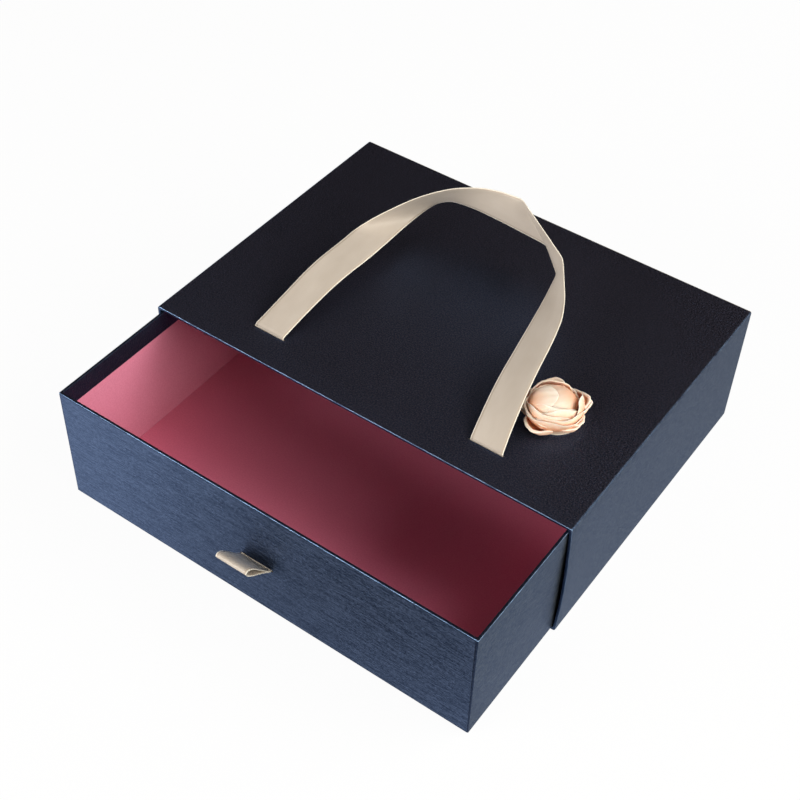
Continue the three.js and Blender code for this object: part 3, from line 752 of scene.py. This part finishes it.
def make_drawer_cover():
    cover = add_box("drawer_cover", drawer_low, drawer_high)
    size = drawer_high - drawer_low
    bpy.ops.object.mode_set(mode="EDIT")
    pick(cover, "faces", lambda face: face.normal.z > SQUARE)
    bpy.ops.mesh.delete(type="FACE")
    pick(cover, "edges", lambda edge: not edge.is_boundary)
    bpy.ops.mesh.bevel(offset=CORNER_RADIUS, segments=3, profile=0.5)
    rim_centre = (drawer_low + drawer_high) / 2
    rim_centre.z = drawer_high.z
    turn_in(cover, Z_AXIS, rim_centre, size, (0, 0, -DRAWER_TURN_IN))
    round_rim(cover, Z_AXIS, drawer_high.z)
    pick(cover, "faces", lambda face: face.normal.z < -SQUARE and face.calc_area() > LARGE_AREA)
    bpy.ops.mesh.inset(thickness=BASE_WINDOW)
    bpy.ops.mesh.delete(type="FACE")
    for side, corner in ((-1, drawer_low.x), (1, drawer_high.x)):
        top = Vector((corner - side * (SEAM_AT_RIM + CORNER_RADIUS), 0, drawer_high.z))
        foot = Vector((corner - side * (SEAM_AT_FOOT + CORNER_RADIUS), 0, drawer_low.z))
        pick(cover, "faces", lambda face: on_plane(face, Y_AXIS, drawer_low.y))
        across = (top - foot).cross(Vector((0, 1, 0)))
        bpy.ops.mesh.bisect(plane_co=top, plane_no=across.normalized())
    pick(cover, "faces", lambda face: on_plane(face, Y_AXIS, drawer_low.y)
         and abs(face.calc_center_median().x) < size.x / 4)
    extrude((0, -SHEET_STEP, 0))
    finish_paper(cover)
    tab_low, tab_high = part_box("pull_tab_tail")
    slot_middle = (tab_low.z + tab_high.z) / 2
    cut_box(cover, (tab_low.x - SLOT_MARGIN, drawer_low.y - MM, slot_middle - SLOT_MARGIN),
            (tab_high.x + SLOT_MARGIN, drawer_low.y + wall, slot_middle + SLOT_MARGIN))
    return cover


settle_cover(make_drawer_cover(), "drawer", "drawer_wrap", Z_AXIS, drawer_high.z, drawer_low.y)

# %% [markdown]
# A tape bends but never stretches, so it is built from straight lines across it, its rungs,
# and is flat between two of them. `make_tape` turns such a row of rungs into a mesh, lays a
# UV map along it and gives it its thickness.

# %% Helper for tapes
TAPE_THICKNESS = 0.4 * MM
STEPS_ACROSS = 10


def make_tape(name, rows):
    """A tape from rows of (middle point, way to the outer edge), with U along it in metres."""
    points, uvs, faces = [], [], []
    along = 0.0
    for index, (middle, outward) in enumerate(rows):
        if index:
            along += (middle - rows[index - 1][0]).length
        for step in range(STEPS_ACROSS + 1):
            share = step / STEPS_ACROSS
            points.append(middle + outward * (1 - 2 * share))
            uvs.append((along, share))
    columns = STEPS_ACROSS + 1
    for index in range(len(rows) - 1):
        for step in range(STEPS_ACROSS):
            corner = index * columns + step
            faces.append((corner, corner + columns, corner + columns + 1, corner + 1))
    mesh = bpy.data.meshes.new(name)
    mesh.from_pydata(points, [], faces)
    layer = mesh.uv_layers.new(name="UVMap")
    for loop in mesh.loops:
        layer.data[loop.index].uv = uvs[loop.vertex_index]
    tape = bpy.data.objects.new(name, mesh)
    bpy.context.scene.collection.objects.link(tape)
    mesh.shade_smooth()
    apply_modifier(tape, "SOLIDIFY", thickness=TAPE_THICKNESS, offset=0, use_even_offset=True)
    print(name, "is", round(along / MM, 1), "mm long")
    return tape, along


print("faces across a tape:", STEPS_ACROSS)

# %% [markdown]
# The handle leaves both slots lying flat and leans back over the lid. It turns on edge at the
# crest, widens again to the right, and two slanted creases bring it down as the right leg.
# The rungs below are those of the model. The first three numbers are the place of a rung's
# middle, as shares of half the handle's width, of its reach and of its rise. The next three
# lead from there to the outer edge, in shares of half the tape's width, and the last is the
# length of the bend there, as a share of the tape's width.

# %% Rungs of the handle
HANDLE_RUNG_SHARES = [
    (-1.0, 0.0, 0.0, -1.0, 0.0, 0.0, 0.3),
    (-0.98, 0.15, 0.16, -0.99, 0.07, 0.01, 0.5),
    (-0.96, 0.37, 0.32, -0.99, 0.05, 0.13, 0.6),
    (-0.93, 0.59, 0.35, -0.98, -0.16, 0.2, 0.6),
    (-0.93, 0.78, 0.37, -0.96, -1.19, 0.19, 0.6),
    (-0.77, 0.88, 0.65, -0.52, -1.04, 0.4, 0.6),
    (-0.62, 0.95, 0.83, 0.05, -0.63, 0.77, 0.6),
    (-0.43, 1.0, 0.92, 0.44, -0.29, 0.95, 0.6),
    (-0.18, 1.02, 0.94, 0.1, -0.01, 1.0, 0.6),
    (0.19, 1.04, 0.87, -1.0, 0.1, 1.13, 0.12),
    (0.58, 0.91, 0.68, 0.28, -0.3, 0.92, 0.12),
    (0.73, 0.74, 0.49, 0.96, -0.52, 0.53, 0.6),
    (0.81, 0.54, 0.44, 0.92, 0.15, 0.4, 0.6),
    (0.89, 0.29, 0.35, 0.93, 0.25, 0.31, 0.6),
    (0.96, 0.1, 0.17, 0.98, 0.05, 0.18, 0.5),
    (1.0, 0.0, 0.0, 1.0, 0.0, 0.0, 0.3),
]
HANDLE_WIDTH = 180 * MM
HANDLE_REACH = 162 * MM
HANDLE_RISE = 49 * MM
SLOT_LINE = sleeve_low.y + 26.2 * MM
HINGE_HEIGHT = sleeve_high.z + 0.55 * MM


def handle_rungs():
    """Rows of (distance along, middle, way to the outer edge, bend length) in metres."""
    rungs = []
    along = 0.0
    for across, back, rise, out_x, out_y, out_z, bend in HANDLE_RUNG_SHARES:
        middle = Vector((across * HANDLE_WIDTH / 2, SLOT_LINE + back * HANDLE_REACH,
                         HINGE_HEIGHT + rise * HANDLE_RISE))
        if rungs:
            along += (middle - rungs[-1][1]).length
        outward = Vector((out_x, out_y, out_z)) * RIBBON_WIDTH / 2
        rungs.append((along, middle, outward, bend * RIBBON_WIDTH))
    return rungs


rungs = handle_rungs()
print("the rungs span", round(rungs[-1][0] / MM, 1), "mm of tape")

# %% [markdown]
# A bend is the mean of the flat stretches within its length, so a short one is a crease and a
# long one a soft turn. The mean is taken over a few samples on both sides of a place. At its ends
# the tape stands up out of the slots before it leans back, and goes down into them.

# %% Handle ribbon
HANDLE_STEPS = 320
BEND_SAMPLES = 15
ROOT_STAND = 1.1 * MM
ROOT_BEND = 0.8 * MM
ROOT_LEAN = 14 * MM
ROOT_ROW_HEIGHTS = (0.05 * MM, 0.55 * MM)


def between(rungs, along):
    """The rung before a distance along the tape, the one after, and the share between."""
    along = min(max(along, 0.0), rungs[-1][0])
    after = max(next(i for i, rung in enumerate(rungs) if rung[0] >= along), 1)
    low, high = rungs[after - 1], rungs[after]
    return low, high, (along - low[0]) / (high[0] - low[0])


def bent_rung(rungs, along):
    low, high, share = between(rungs, along)
    reach = min(low[3] + (high[3] - low[3]) * share, along, rungs[-1][0] - along)
    middle, outward = Vector(), Vector()
    for sample in range(BEND_SAMPLES):
        shift = reach * (2 * sample / (BEND_SAMPLES - 1) - 1)
        low, high, share = between(rungs, along + shift)
        middle += low[1].lerp(high[1], share) / BEND_SAMPLES
        outward += low[2].lerp(high[2], share) / BEND_SAMPLES
    return middle, outward


def stand_up(rows):
    """Lets both ends of the tape stand up out of their slots before they lean back."""
    for middle, outward in rows:
        away = min((middle - rows[0][0]).length, (middle - rows[-1][0]).length)
        middle.z += ROOT_STAND * math.exp(-away / ROOT_LEAN) * min(away / ROOT_BEND, 1)
    ends = []
    for middle, outward in (rows[0], rows[-1]):
        ends.append([(Vector((middle.x, SLOT_LINE, sleeve_high.z + height)), outward)
                     for height in ROOT_ROW_HEIGHTS])
    return ends[0] + rows + ends[1][::-1]


handle_rows = [bent_rung(rungs, rungs[-1][0] * step / HANDLE_STEPS)
               for step in range(HANDLE_STEPS + 1)]
handle_tape, handle_length = make_tape("handle_tape", stand_up(handle_rows))
dress(handle_tape, tape_satin)
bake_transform(handle_tape)
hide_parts("handle_ribbon")

# %% [markdown]
# The pull tab is a short loop of the same tape. It leaves its slot as two layers face to
# face, opens to a drop and comes back on itself at the tip. Seen from the end it is a closed
# curve, and the tape is that curve drawn out to the ribbon's width. The drop is a product of
# two sines, which is divided by its peak so that the loop's height is a plain number.

# %% Pull tab
TAB_REACH = 31.5 * MM
TAB_LOOP_HEIGHT = 4.6 * MM
TAB_RAISE = 0.6 * MM
TAB_LAYERS = 0.5 * MM
TAB_ROOT_STAND = 0.8 * MM
TAB_LIFT = math.radians(43)
TAB_STEPS = 96
DROP_PEAK = 4 / (3 * math.sqrt(3))

tab_low, tab_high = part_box("pull_tab_tail")
tab_root = Vector((0, drawer_low.y - TAB_ROOT_STAND, (tab_low.z + tab_high.z) / 2))


def tab_row(share):
    turn = share * math.pi
    drop = math.sin(2 * turn) * math.sin(turn) / DROP_PEAK
    out = TAB_REACH * math.sin(turn)
    square = (drop * TAB_LOOP_HEIGHT + math.cos(turn) * TAB_LAYERS) / 2
    square += TAB_RAISE * math.sin(turn)
    place = Vector((0, -out * math.cos(TAB_LIFT) + square * math.sin(TAB_LIFT),
                    out * math.sin(TAB_LIFT) + square * math.cos(TAB_LIFT)))
    return tab_root + place, Vector((-RIBBON_WIDTH / 2, 0, 0))


tab_rows = [tab_row(step / TAB_STEPS) for step in range(TAB_STEPS + 1)]
pull_tape, pull_length = make_tape("pull_tape", tab_rows)
dress(pull_tape, tape_satin)
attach(pull_tape, "tab")
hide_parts("pull_tab")

# %% [markdown]
# The rose is folded from satin petals round a rolled bud, glued to a disc of felt. The open
# petals stand in three rings of five. Each is part of a bowl: its profile runs from the felt
# out and up, and its rim curls outwards over a small radius, which gives the bright line that
# every fold has. Radii are shares of the rose's radius and rises are shares of its height. A
# profile's four corners are those of a Bezier curve, each as (radius, rise). Angles are in
# degrees, and the curl, the spiral and the ruffle are in millimetres.

# %% Rings of open petals
ROSE_RADIUS = 23.8 * MM
ROSE_HEIGHT = 18.5 * MM
PETALS_AROUND = 5
WHORLS = [
    {"name": "rose_petal_outer", "start": 266, "spread": 45, "foot_width": 0.6, "lobe": 0.5,
     "profile": [(0.40, 0.0), (0.90, 0.0), (1.05, 0.08), (0.96, 0.36)], "curl": 1.3,
     "side_drop": 0.5, "spiral": 1.3, "ruffle": 0.8, "uneven": 0.07, "slant": 0.0},
    {"name": "rose_petal_between", "start": 274, "spread": 48, "foot_width": 0.55, "lobe": 0.4,
     "profile": [(0.36, 0.04), (0.86, 0.06), (0.97, 0.26), (0.9, 0.52)], "curl": 1.0,
     "side_drop": 0.42, "spiral": 1.5, "ruffle": 0.7, "uneven": 0.1, "slant": 0.05},
    {"name": "rose_petal_middle", "start": 306, "spread": 58, "foot_width": 0.55, "lobe": 0.16,
     "profile": [(0.3, 0.08), (0.74, 0.1), (0.8, 0.36), (0.72, 0.58)], "curl": 0.8,
     "side_drop": 0.36, "spiral": 1.7, "ruffle": 0.5, "uneven": 0.12, "slant": 0.07},
]
print("open petals:", len(WHORLS) * PETALS_AROUND)

# %% [markdown]
# A petal is a grid of points, with rows from its foot to its rim. It spirals a little, so that
# one side lies over its neighbour, its rim is ruffled by a slow wave, and fine creases run up
# it. The petals at the front of the rose lie lower, as in the photograph. The small numbers
# inside the sines only say where each wave starts and how long it is, so that no two petals
# are alike.

# %% Shape of an open petal
PETAL_STEPS_UP = 20
PETAL_STEPS_ACROSS = 32
CURL_STEPS = 4
CURL_TURN = math.radians(38)
TURN_SWAY = 7
OPENING_PACE = 1.3
ROSE_FRONT = 304
FRONT_DROP = 0.36
SIDE_SINK = 0.7
FINE_CREASES = 19
FINE_CREASE_DEPTH = 0.22 * MM


def bezier(corners, share):
    rest = 1 - share
    weights = (rest ** 3, 3 * rest * rest * share, 3 * rest * share * share, share ** 3)
    return [sum(w * corner[axis] for w, corner in zip(weights, corners)) for axis in (0, 1)]


def petal_profile(whorl):
    """Points (radius, rise) in metres: the bowl, and then the curl of its rim."""
    steps = PETAL_STEPS_UP - CURL_STEPS
    bowl = [bezier(whorl["profile"], step / steps) for step in range(steps + 1)]
    bowl = [(radius * ROSE_RADIUS, rise * ROSE_HEIGHT) for radius, rise in bowl]
    (r0, z0), (r1, z1) = bowl[-2:]
    heading = math.atan2(z1 - z0, r1 - r0)
    stride = 2 * whorl["curl"] * MM * math.sin(CURL_TURN / 2)
    for step in range(CURL_STEPS):
        heading -= CURL_TURN
        r1 += stride * math.cos(heading)
        z1 += stride * math.sin(heading)
        bowl.append((r1, z1))
    return bowl


def petal_points(whorl, index):
    """Rows of points for one open petal, from its foot to its rim."""
    sway = TURN_SWAY * math.sin(3.1 * index)
    turn = math.radians(whorl["start"] + index * 360 / PETALS_AROUND + sway)
    profile = petal_profile(whorl)
    wider = 1 + whorl["uneven"] * math.sin(2.3 * index + whorl["start"])
    taller = 1 + 1.5 * whorl["uneven"] * math.sin(1.9 * index + 1)
    taller -= FRONT_DROP * (0.5 + 0.5 * math.cos(turn - math.radians(ROSE_FRONT)))
    grid = []
    for i, (radius, rise) in enumerate(profile):
        up = i / (len(profile) - 1)
        opened = math.sin(min(up * OPENING_PACE, 1) * math.pi / 2)
        width = whorl["foot_width"] + (1 - whorl["foot_width"]) * opened
        row = []
        for j in range(PETAL_STEPS_ACROSS + 1):
            side = 2 * j / PETAL_STEPS_ACROSS - 1
            wave = math.sin(side * 5.1 + 2.4 * index + whorl["start"])
            wave += 0.6 * math.sin(side * 9.7 + index)
            fine = math.sin(side * FINE_CREASES + 1.3 * index + 2 * math.sin(side * 4))
            drop = 1 - whorl["side_drop"] * side ** 4 * up * up - whorl["slant"] * side
            out = radius * wider * (1 - whorl["lobe"] * side * side * opened)
            out += whorl["spiral"] * MM * side + whorl["ruffle"] * MM * wave * up ** 3
            out += FINE_CREASE_DEPTH * fine * up
            angle = turn + side * math.radians(whorl["spread"]) * width
            height = rise * drop * taller - SIDE_SINK * whorl["spiral"] * MM * side * opened
            row.append(Vector((out * math.cos(angle), out * math.sin(angle), max(height, 0))))
        grid.append(row)
    return grid


print("points of an open petal:", (PETAL_STEPS_UP + 1) * (PETAL_STEPS_ACROSS + 1))

# %% [markdown]
# The inner petals close the rose like a cabbage: they lie on a flat ball and go on towards its
# top or over it. Each row below is a name, the side the flap rises from, how far its rim is
# from the top, its half spread, its size as a share of the ball, how far its corners are
# rounded off, and how far it is shifted to its side as a share of the rose's radius. Two flaps
# puff up and go on over the top, and the others lie round them as folds.

# %% Flaps over the top
FLAPS = [
    ("rose_petal_inner_1", 294, 78, 80, 1.3, 12, 0.05),
    ("rose_petal_fold_1", 322, 67, 70, 1.23, 16, 0.04),
    ("rose_petal_fold_2", 278, 58, 74, 1.17, 14, 0.03),
    ("rose_petal_fold_5", 312, 49, 66, 1.11, 16, 0.02),
    ("rose_petal_inner_3", 296, 39, 68, 1.05, 18, 0.0),
    ("rose_petal_fold_3", 24, 52, 56, 1.16, 34, 0.08),
    ("rose_petal_fold_4", 132, 46, 62, 1.1, 34, 0.04),
    ("rose_petal_inner_2", 60, -44, 84, 0.9, 34, 0.08),
    ("rose_petal_inner_4", 218, -14, 64, 0.94, 46, 0.12),
]
BALL_RADIUS = 0.65 * ROSE_RADIUS
BALL_HALF_HEIGHT = 0.55 * ROSE_HEIGHT
BALL_MIDDLE = 0.86
FLAP_FOOT = 112
RIM_SWAY = 4
SWELL_START = 0.24
SWELL_POWER = 0.6
CORNER_FALL = 0.95
LIP_START = 0.86
LIP_RISE = 0.05
SLOW_CREASE = 0.022
FAST_CREASE = 0.008
SIDE_OVERLAP = 0.03


def flap_points(side_angle, lean, half_spread, size, rounding, shift):
    """Rows of points for a petal that lies on the ball and goes on over its top."""
    outwards = Vector((math.cos(math.radians(side_angle)), math.sin(math.radians(side_angle)), 0))
    across = Vector((-outwards.y, outwards.x, 0))
    up_axis = Vector((0, 0, 1))
    grid = []
    for i in range(PETAL_STEPS_UP + 1):
        up = i / PETAL_STEPS_UP
        swell = math.sin(math.pi * (SWELL_START + 0.5 * up)) ** SWELL_POWER
        spread = math.radians(half_spread) * swell
        lip = LIP_RISE * max((up - LIP_START) / (1 - LIP_START), 0) ** 2
        row = []
        for j in range(PETAL_STEPS_ACROSS + 1):
            side = 2 * j / PETAL_STEPS_ACROSS - 1
            rim = lean + rounding * (1 - math.sqrt(1 - CORNER_FALL * side * side))
            rim += RIM_SWAY * math.sin(side * 4 + side_angle)
            tilt = math.radians(FLAP_FOOT + (rim - FLAP_FOOT) * up)
            crease = SLOW_CREASE * math.sin(side * 6 + side_angle)
            crease = (crease + FAST_CREASE * math.sin(side * 17 + lean)) * up
            wide = side * spread
            way = (outwards * math.sin(tilt) + up_axis * math.cos(tilt)) * math.cos(wide)
            way += across * math.sin(wide)
            reach = size * (1 + lip + crease + SIDE_OVERLAP * side)
            point = Vector((way.x * BALL_RADIUS * reach, way.y * BALL_RADIUS * reach,
                            BALL_HALF_HEIGHT * (BALL_MIDDLE + way.z * reach)))
            row.append(point + outwards * shift * ROSE_RADIUS)
        grid.append(row)
    return grid


print("flaps:", len(FLAPS))

# %% [markdown]
# Each grid becomes a sheet of satin with a UV map of its own, is smoothed by a subdivision and
# gets its thickness. The whole rose stands on the felt, a little to the left of its middle, as in
# the photograph. A flap that goes over the top catches the full light, so it gets the satin with
# less painted shade under its rim.

# %% Petals of the rose
PETAL_THICKNESS = 0.32 * MM
OFF_CENTRE = -1.9 * MM
FELT_GAP = 0.3 * MM
OPEN_UV_STEP, FLAP_UV_STEP = 1.7, 2.3

felt_low, felt_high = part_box("rose_felt")
ROSE_CENTRE = (felt_low + felt_high) / 2
ROSE_CENTRE.x += OFF_CENTRE
ROSE_CENTRE.z = felt_high.z + FELT_GAP


def make_petal(name, grid, offset, satin=petal_satin):
    columns = len(grid[0])
    points = [ROSE_CENTRE + point for row in grid for point in row]
    faces = []
    for i in range(len(grid) - 1):
        for j in range(columns - 1):
            corner = i * columns + j
            faces.append((corner, corner + 1, corner + columns + 1, corner + columns))
    mesh = bpy.data.meshes.new("satin_" + name)
    mesh.from_pydata(points, [], faces)
    layer = mesh.uv_layers.new(name="UVMap")
    for loop in mesh.loops:
        i, j = divmod(loop.vertex_index, columns)
        layer.data[loop.index].uv = (j / (columns - 1) + offset, i / (len(grid) - 1))
    petal = bpy.data.objects.new("satin_" + name, mesh)
    bpy.context.scene.collection.objects.link(petal)
    mesh.shade_smooth()
    apply_modifier(petal, "SUBSURF", levels=1, render_levels=1)
    apply_modifier(petal, "SOLIDIFY", thickness=PETAL_THICKNESS, offset=0)
    dress(petal, satin)
    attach(petal, "sleeve")
    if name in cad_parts:
        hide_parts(name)


for whorl in WHORLS:
    for index in range(PETALS_AROUND):
        petal_name = f"{whorl['name']}_{index + 1}"
        make_petal(petal_name, petal_points(whorl, index), OPEN_UV_STEP * index)
for index, (petal_name, *shape) in enumerate(FLAPS):
    over_the_top = shape[1] < 0
    satin = lobe_satin if over_the_top else petal_satin
    make_petal(petal_name, flap_points(*shape), FLAP_UV_STEP * index, satin)
print("petals:", len(WHORLS) * PETALS_AROUND + len(FLAPS))

# %% [markdown]
# The bud is the rolled heart that the inner petals close over. A small sphere is stretched
# almost to the height of the rose and given a shallow spiral, like a rolled strip seen from
# above.

# %% Rose bud
BUD_RADIUS = 6.2 * MM
BUD_HEIGHT = 0.88 * ROSE_HEIGHT
BUD_SPIRAL = 3
BUD_SPIRAL_DEPTH = 0.5 * MM


def make_bud():
    deselect_all()
    middle = ROSE_CENTRE + Vector((0, 0, BUD_HEIGHT / 2))
    bpy.ops.mesh.primitive_uv_sphere_add(segments=48, ring_count=24, radius=1, location=middle,
                                         scale=(BUD_RADIUS, BUD_RADIUS, BUD_HEIGHT / 2))
    bud = bpy.context.object
    bud.name = "satin_rose_bud"
    bud.data.name = bud.name
    bpy.ops.object.transform_apply(location=True, rotation=True, scale=True)
    for vertex in bud.data.vertices:
        away = (vertex.co - ROSE_CENTRE).to_2d()
        turn = math.atan2(away.y, away.x) + away.length / BUD_RADIUS * BUD_SPIRAL
        if vertex.co.z > middle.z:
            vertex.co.z += BUD_SPIRAL_DEPTH * math.sin(turn)
    bpy.ops.object.shade_smooth()
    dress(bud, petal_satin)
    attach(bud, "sleeve")
    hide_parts("rose_bud")
    print(bud.name, "has", len(bud.data.polygons), "faces")


make_bud()

# %% [markdown]
# The floor is a pale sheet that runs on as a white backdrop. For the camera it is mostly a white
# of its own, with a little of its lit colour left in, so that the soft shadow stays. In the pearl
# glaze of the upright faces the floor is mirrored, and there it glows with painted light in the
# tones that a studio table has in its own light: a painted dim spot just in front of the box,
# brighter further out and to the left, and a little dimmer again towards the back.

# %% Floor
FLOOR_GREY = (0.8, 0.8, 0.8, 1)
PAINTED_DIM_SPOT = (0.05, -0.45, 0)
OWN_WHITE = 0.95


def make_floor():
    deselect_all()
    bpy.ops.mesh.primitive_plane_add(size=12)
    floor = bpy.context.object
    floor.name = "floor"
    finish = Finish("floor_white", Roughness=0.8, Base_Color=FLOOR_GREY)
    path = finish.add("ShaderNodeLightPath").outputs
    place = finish.place()
    from_spot = finish.add("ShaderNodeVectorMath", {0: place, 1: PAINTED_DIM_SPOT},
                           operation="DISTANCE").outputs["Value"]
    parts = finish.axes_of(place)
    # Painted light: the floor's glow in reflections, dim in a spot in front of the box, brighter
    # out and to the left, dimmer to the back.
    mirrored = finish.maths("ADD", finish.ramp(from_spot, 0.15, 0.28, 0.02, 0.6),
                            finish.ramp(parts["X"], 0.0, -0.20, 0.0, 0.35))
    to_back = finish.ramp(parts["Y"], -0.1, 0.2, 0.0, 0.12)
    mirrored = finish.maths("SUBTRACT", mirrored, to_back)
    camera_ray = path["Is Camera Ray"]
    seen = finish.maths("MULTIPLY", camera_ray, OWN_WHITE)
    seen = finish.maths("MAXIMUM", seen, path["Is Glossy Ray"])
    strength = finish.maths("MAXIMUM", camera_ray, mirrored)
    white = finish.add("ShaderNodeEmission", {"Strength": strength})
    mixed = finish.add("ShaderNodeMixShader", {0: seen, 1: finish.shader.outputs["BSDF"],
                                               2: white.outputs["Emission"]})
    output = finish.nodes["Material Output"]
    finish.links.new(mixed.outputs["Shader"], output.inputs["Surface"])
    dress(floor, finish.material)
    print("floor in m:", [round(side, 1) for side in floor.dimensions])


make_floor()

# %% [markdown]
# The world lights everything faintly from all round. The camera sees it as white, and a
# reflection sees it as a dark warm room, so that the lid, which faces it, keeps its near black.

# %% World
WORLD_TINTS = {
    "faint": ((1.0, 0.97, 0.95, 1), 0.1),
    "room": ((1.0, 0.55, 0.3, 1), 0.05),
    "white": ((1, 1, 1, 1), 1.0),
}


def make_world():
    world = bpy.data.worlds.new("studio")
    bpy.context.scene.world = world
    world.use_nodes = True
    nodes, links = world.node_tree.nodes, world.node_tree.links
    tints = {}
    for name, (colour, strength) in WORLD_TINTS.items():
        background = nodes.new("ShaderNodeBackground")
        background.inputs["Color"].default_value = colour
        background.inputs["Strength"].default_value = strength
        tints[name] = background.outputs["Background"]
    path = nodes.new("ShaderNodeLightPath").outputs

    def choose(ray, otherwise, chosen):
        mixed = nodes.new("ShaderNodeMixShader")
        for index, output in enumerate((ray, otherwise, chosen)):
            links.new(output, mixed.inputs[index])
        return mixed.outputs["Shader"]

    unseen = choose(path["Is Glossy Ray"], tints["faint"], tints["room"])
    seen = choose(path["Is Camera Ray"], unseen, tints["white"])
    links.new(seen, nodes["World Output"].inputs["Surface"])
    nodes.remove(nodes["Background"])
    print("world:", world.name, "with", len(tints), "tints")


make_world()

# %% [markdown]
# Five soft panels light the box: two low in front, two on the right and one high behind. They
# are large, so that their shadows are soft. The lid mirrors what stands behind the box, so the
# panel there and the larger one on the right are left out of reflections, and the lid stays
# dark while the upright faces shine, as in the photograph.

# %% Lamps
LAMP_AIM = Vector((0, -0.1, 0.05))
NEUTRAL, WARM, WARMER = (1, 0.98, 0.96), (1, 0.97, 0.92), (1, 0.97, 0.88)


def add_lamp(name, place, size, power, tint, mirrored=True):
    data = bpy.data.lights.new(name, "AREA")
    data.shape = "RECTANGLE"
    data.size, data.size_y = size
    data.energy = power
    data.color = tint
    lamp = bpy.data.objects.new(name, data)
    lamp.location = place
    lamp.rotation_euler = (Vector(place) - LAMP_AIM).to_track_quat("Z", "Y").to_euler()
    lamp.visible_glossy = mirrored
    bpy.context.scene.collection.objects.link(lamp)


add_lamp("panel_left_front", (-1.1, -1.25, 0.4), (1.0, 0.7), 14, NEUTRAL)
add_lamp("panel_right", (1.8, -0.35, 0.85), (1.1, 0.8), 17, WARMER)
add_lamp("panel_right_low", (1.8, 0.6, 0.8), (2.2, 1.6), 24, WARM, mirrored=False)
add_lamp("panel_back", (1.25, 0.75, 1.6), (1.3, 1.3), 27, NEUTRAL, mirrored=False)
add_lamp("panel_front", (-0.55, -1.8, 0.8), (1.0, 0.6), 22, NEUTRAL)
bpy.context.scene.view_settings.view_transform = "Standard"
lamps = [piece for piece in bpy.context.scene.objects if piece.type == "LIGHT"]
print("lamps:", len(lamps), "of", sum(lamp.data.energy for lamp in lamps), "W together")

# %% [markdown]
# A dressed piece may stand proud of the model by little more than a fold of ribbon.
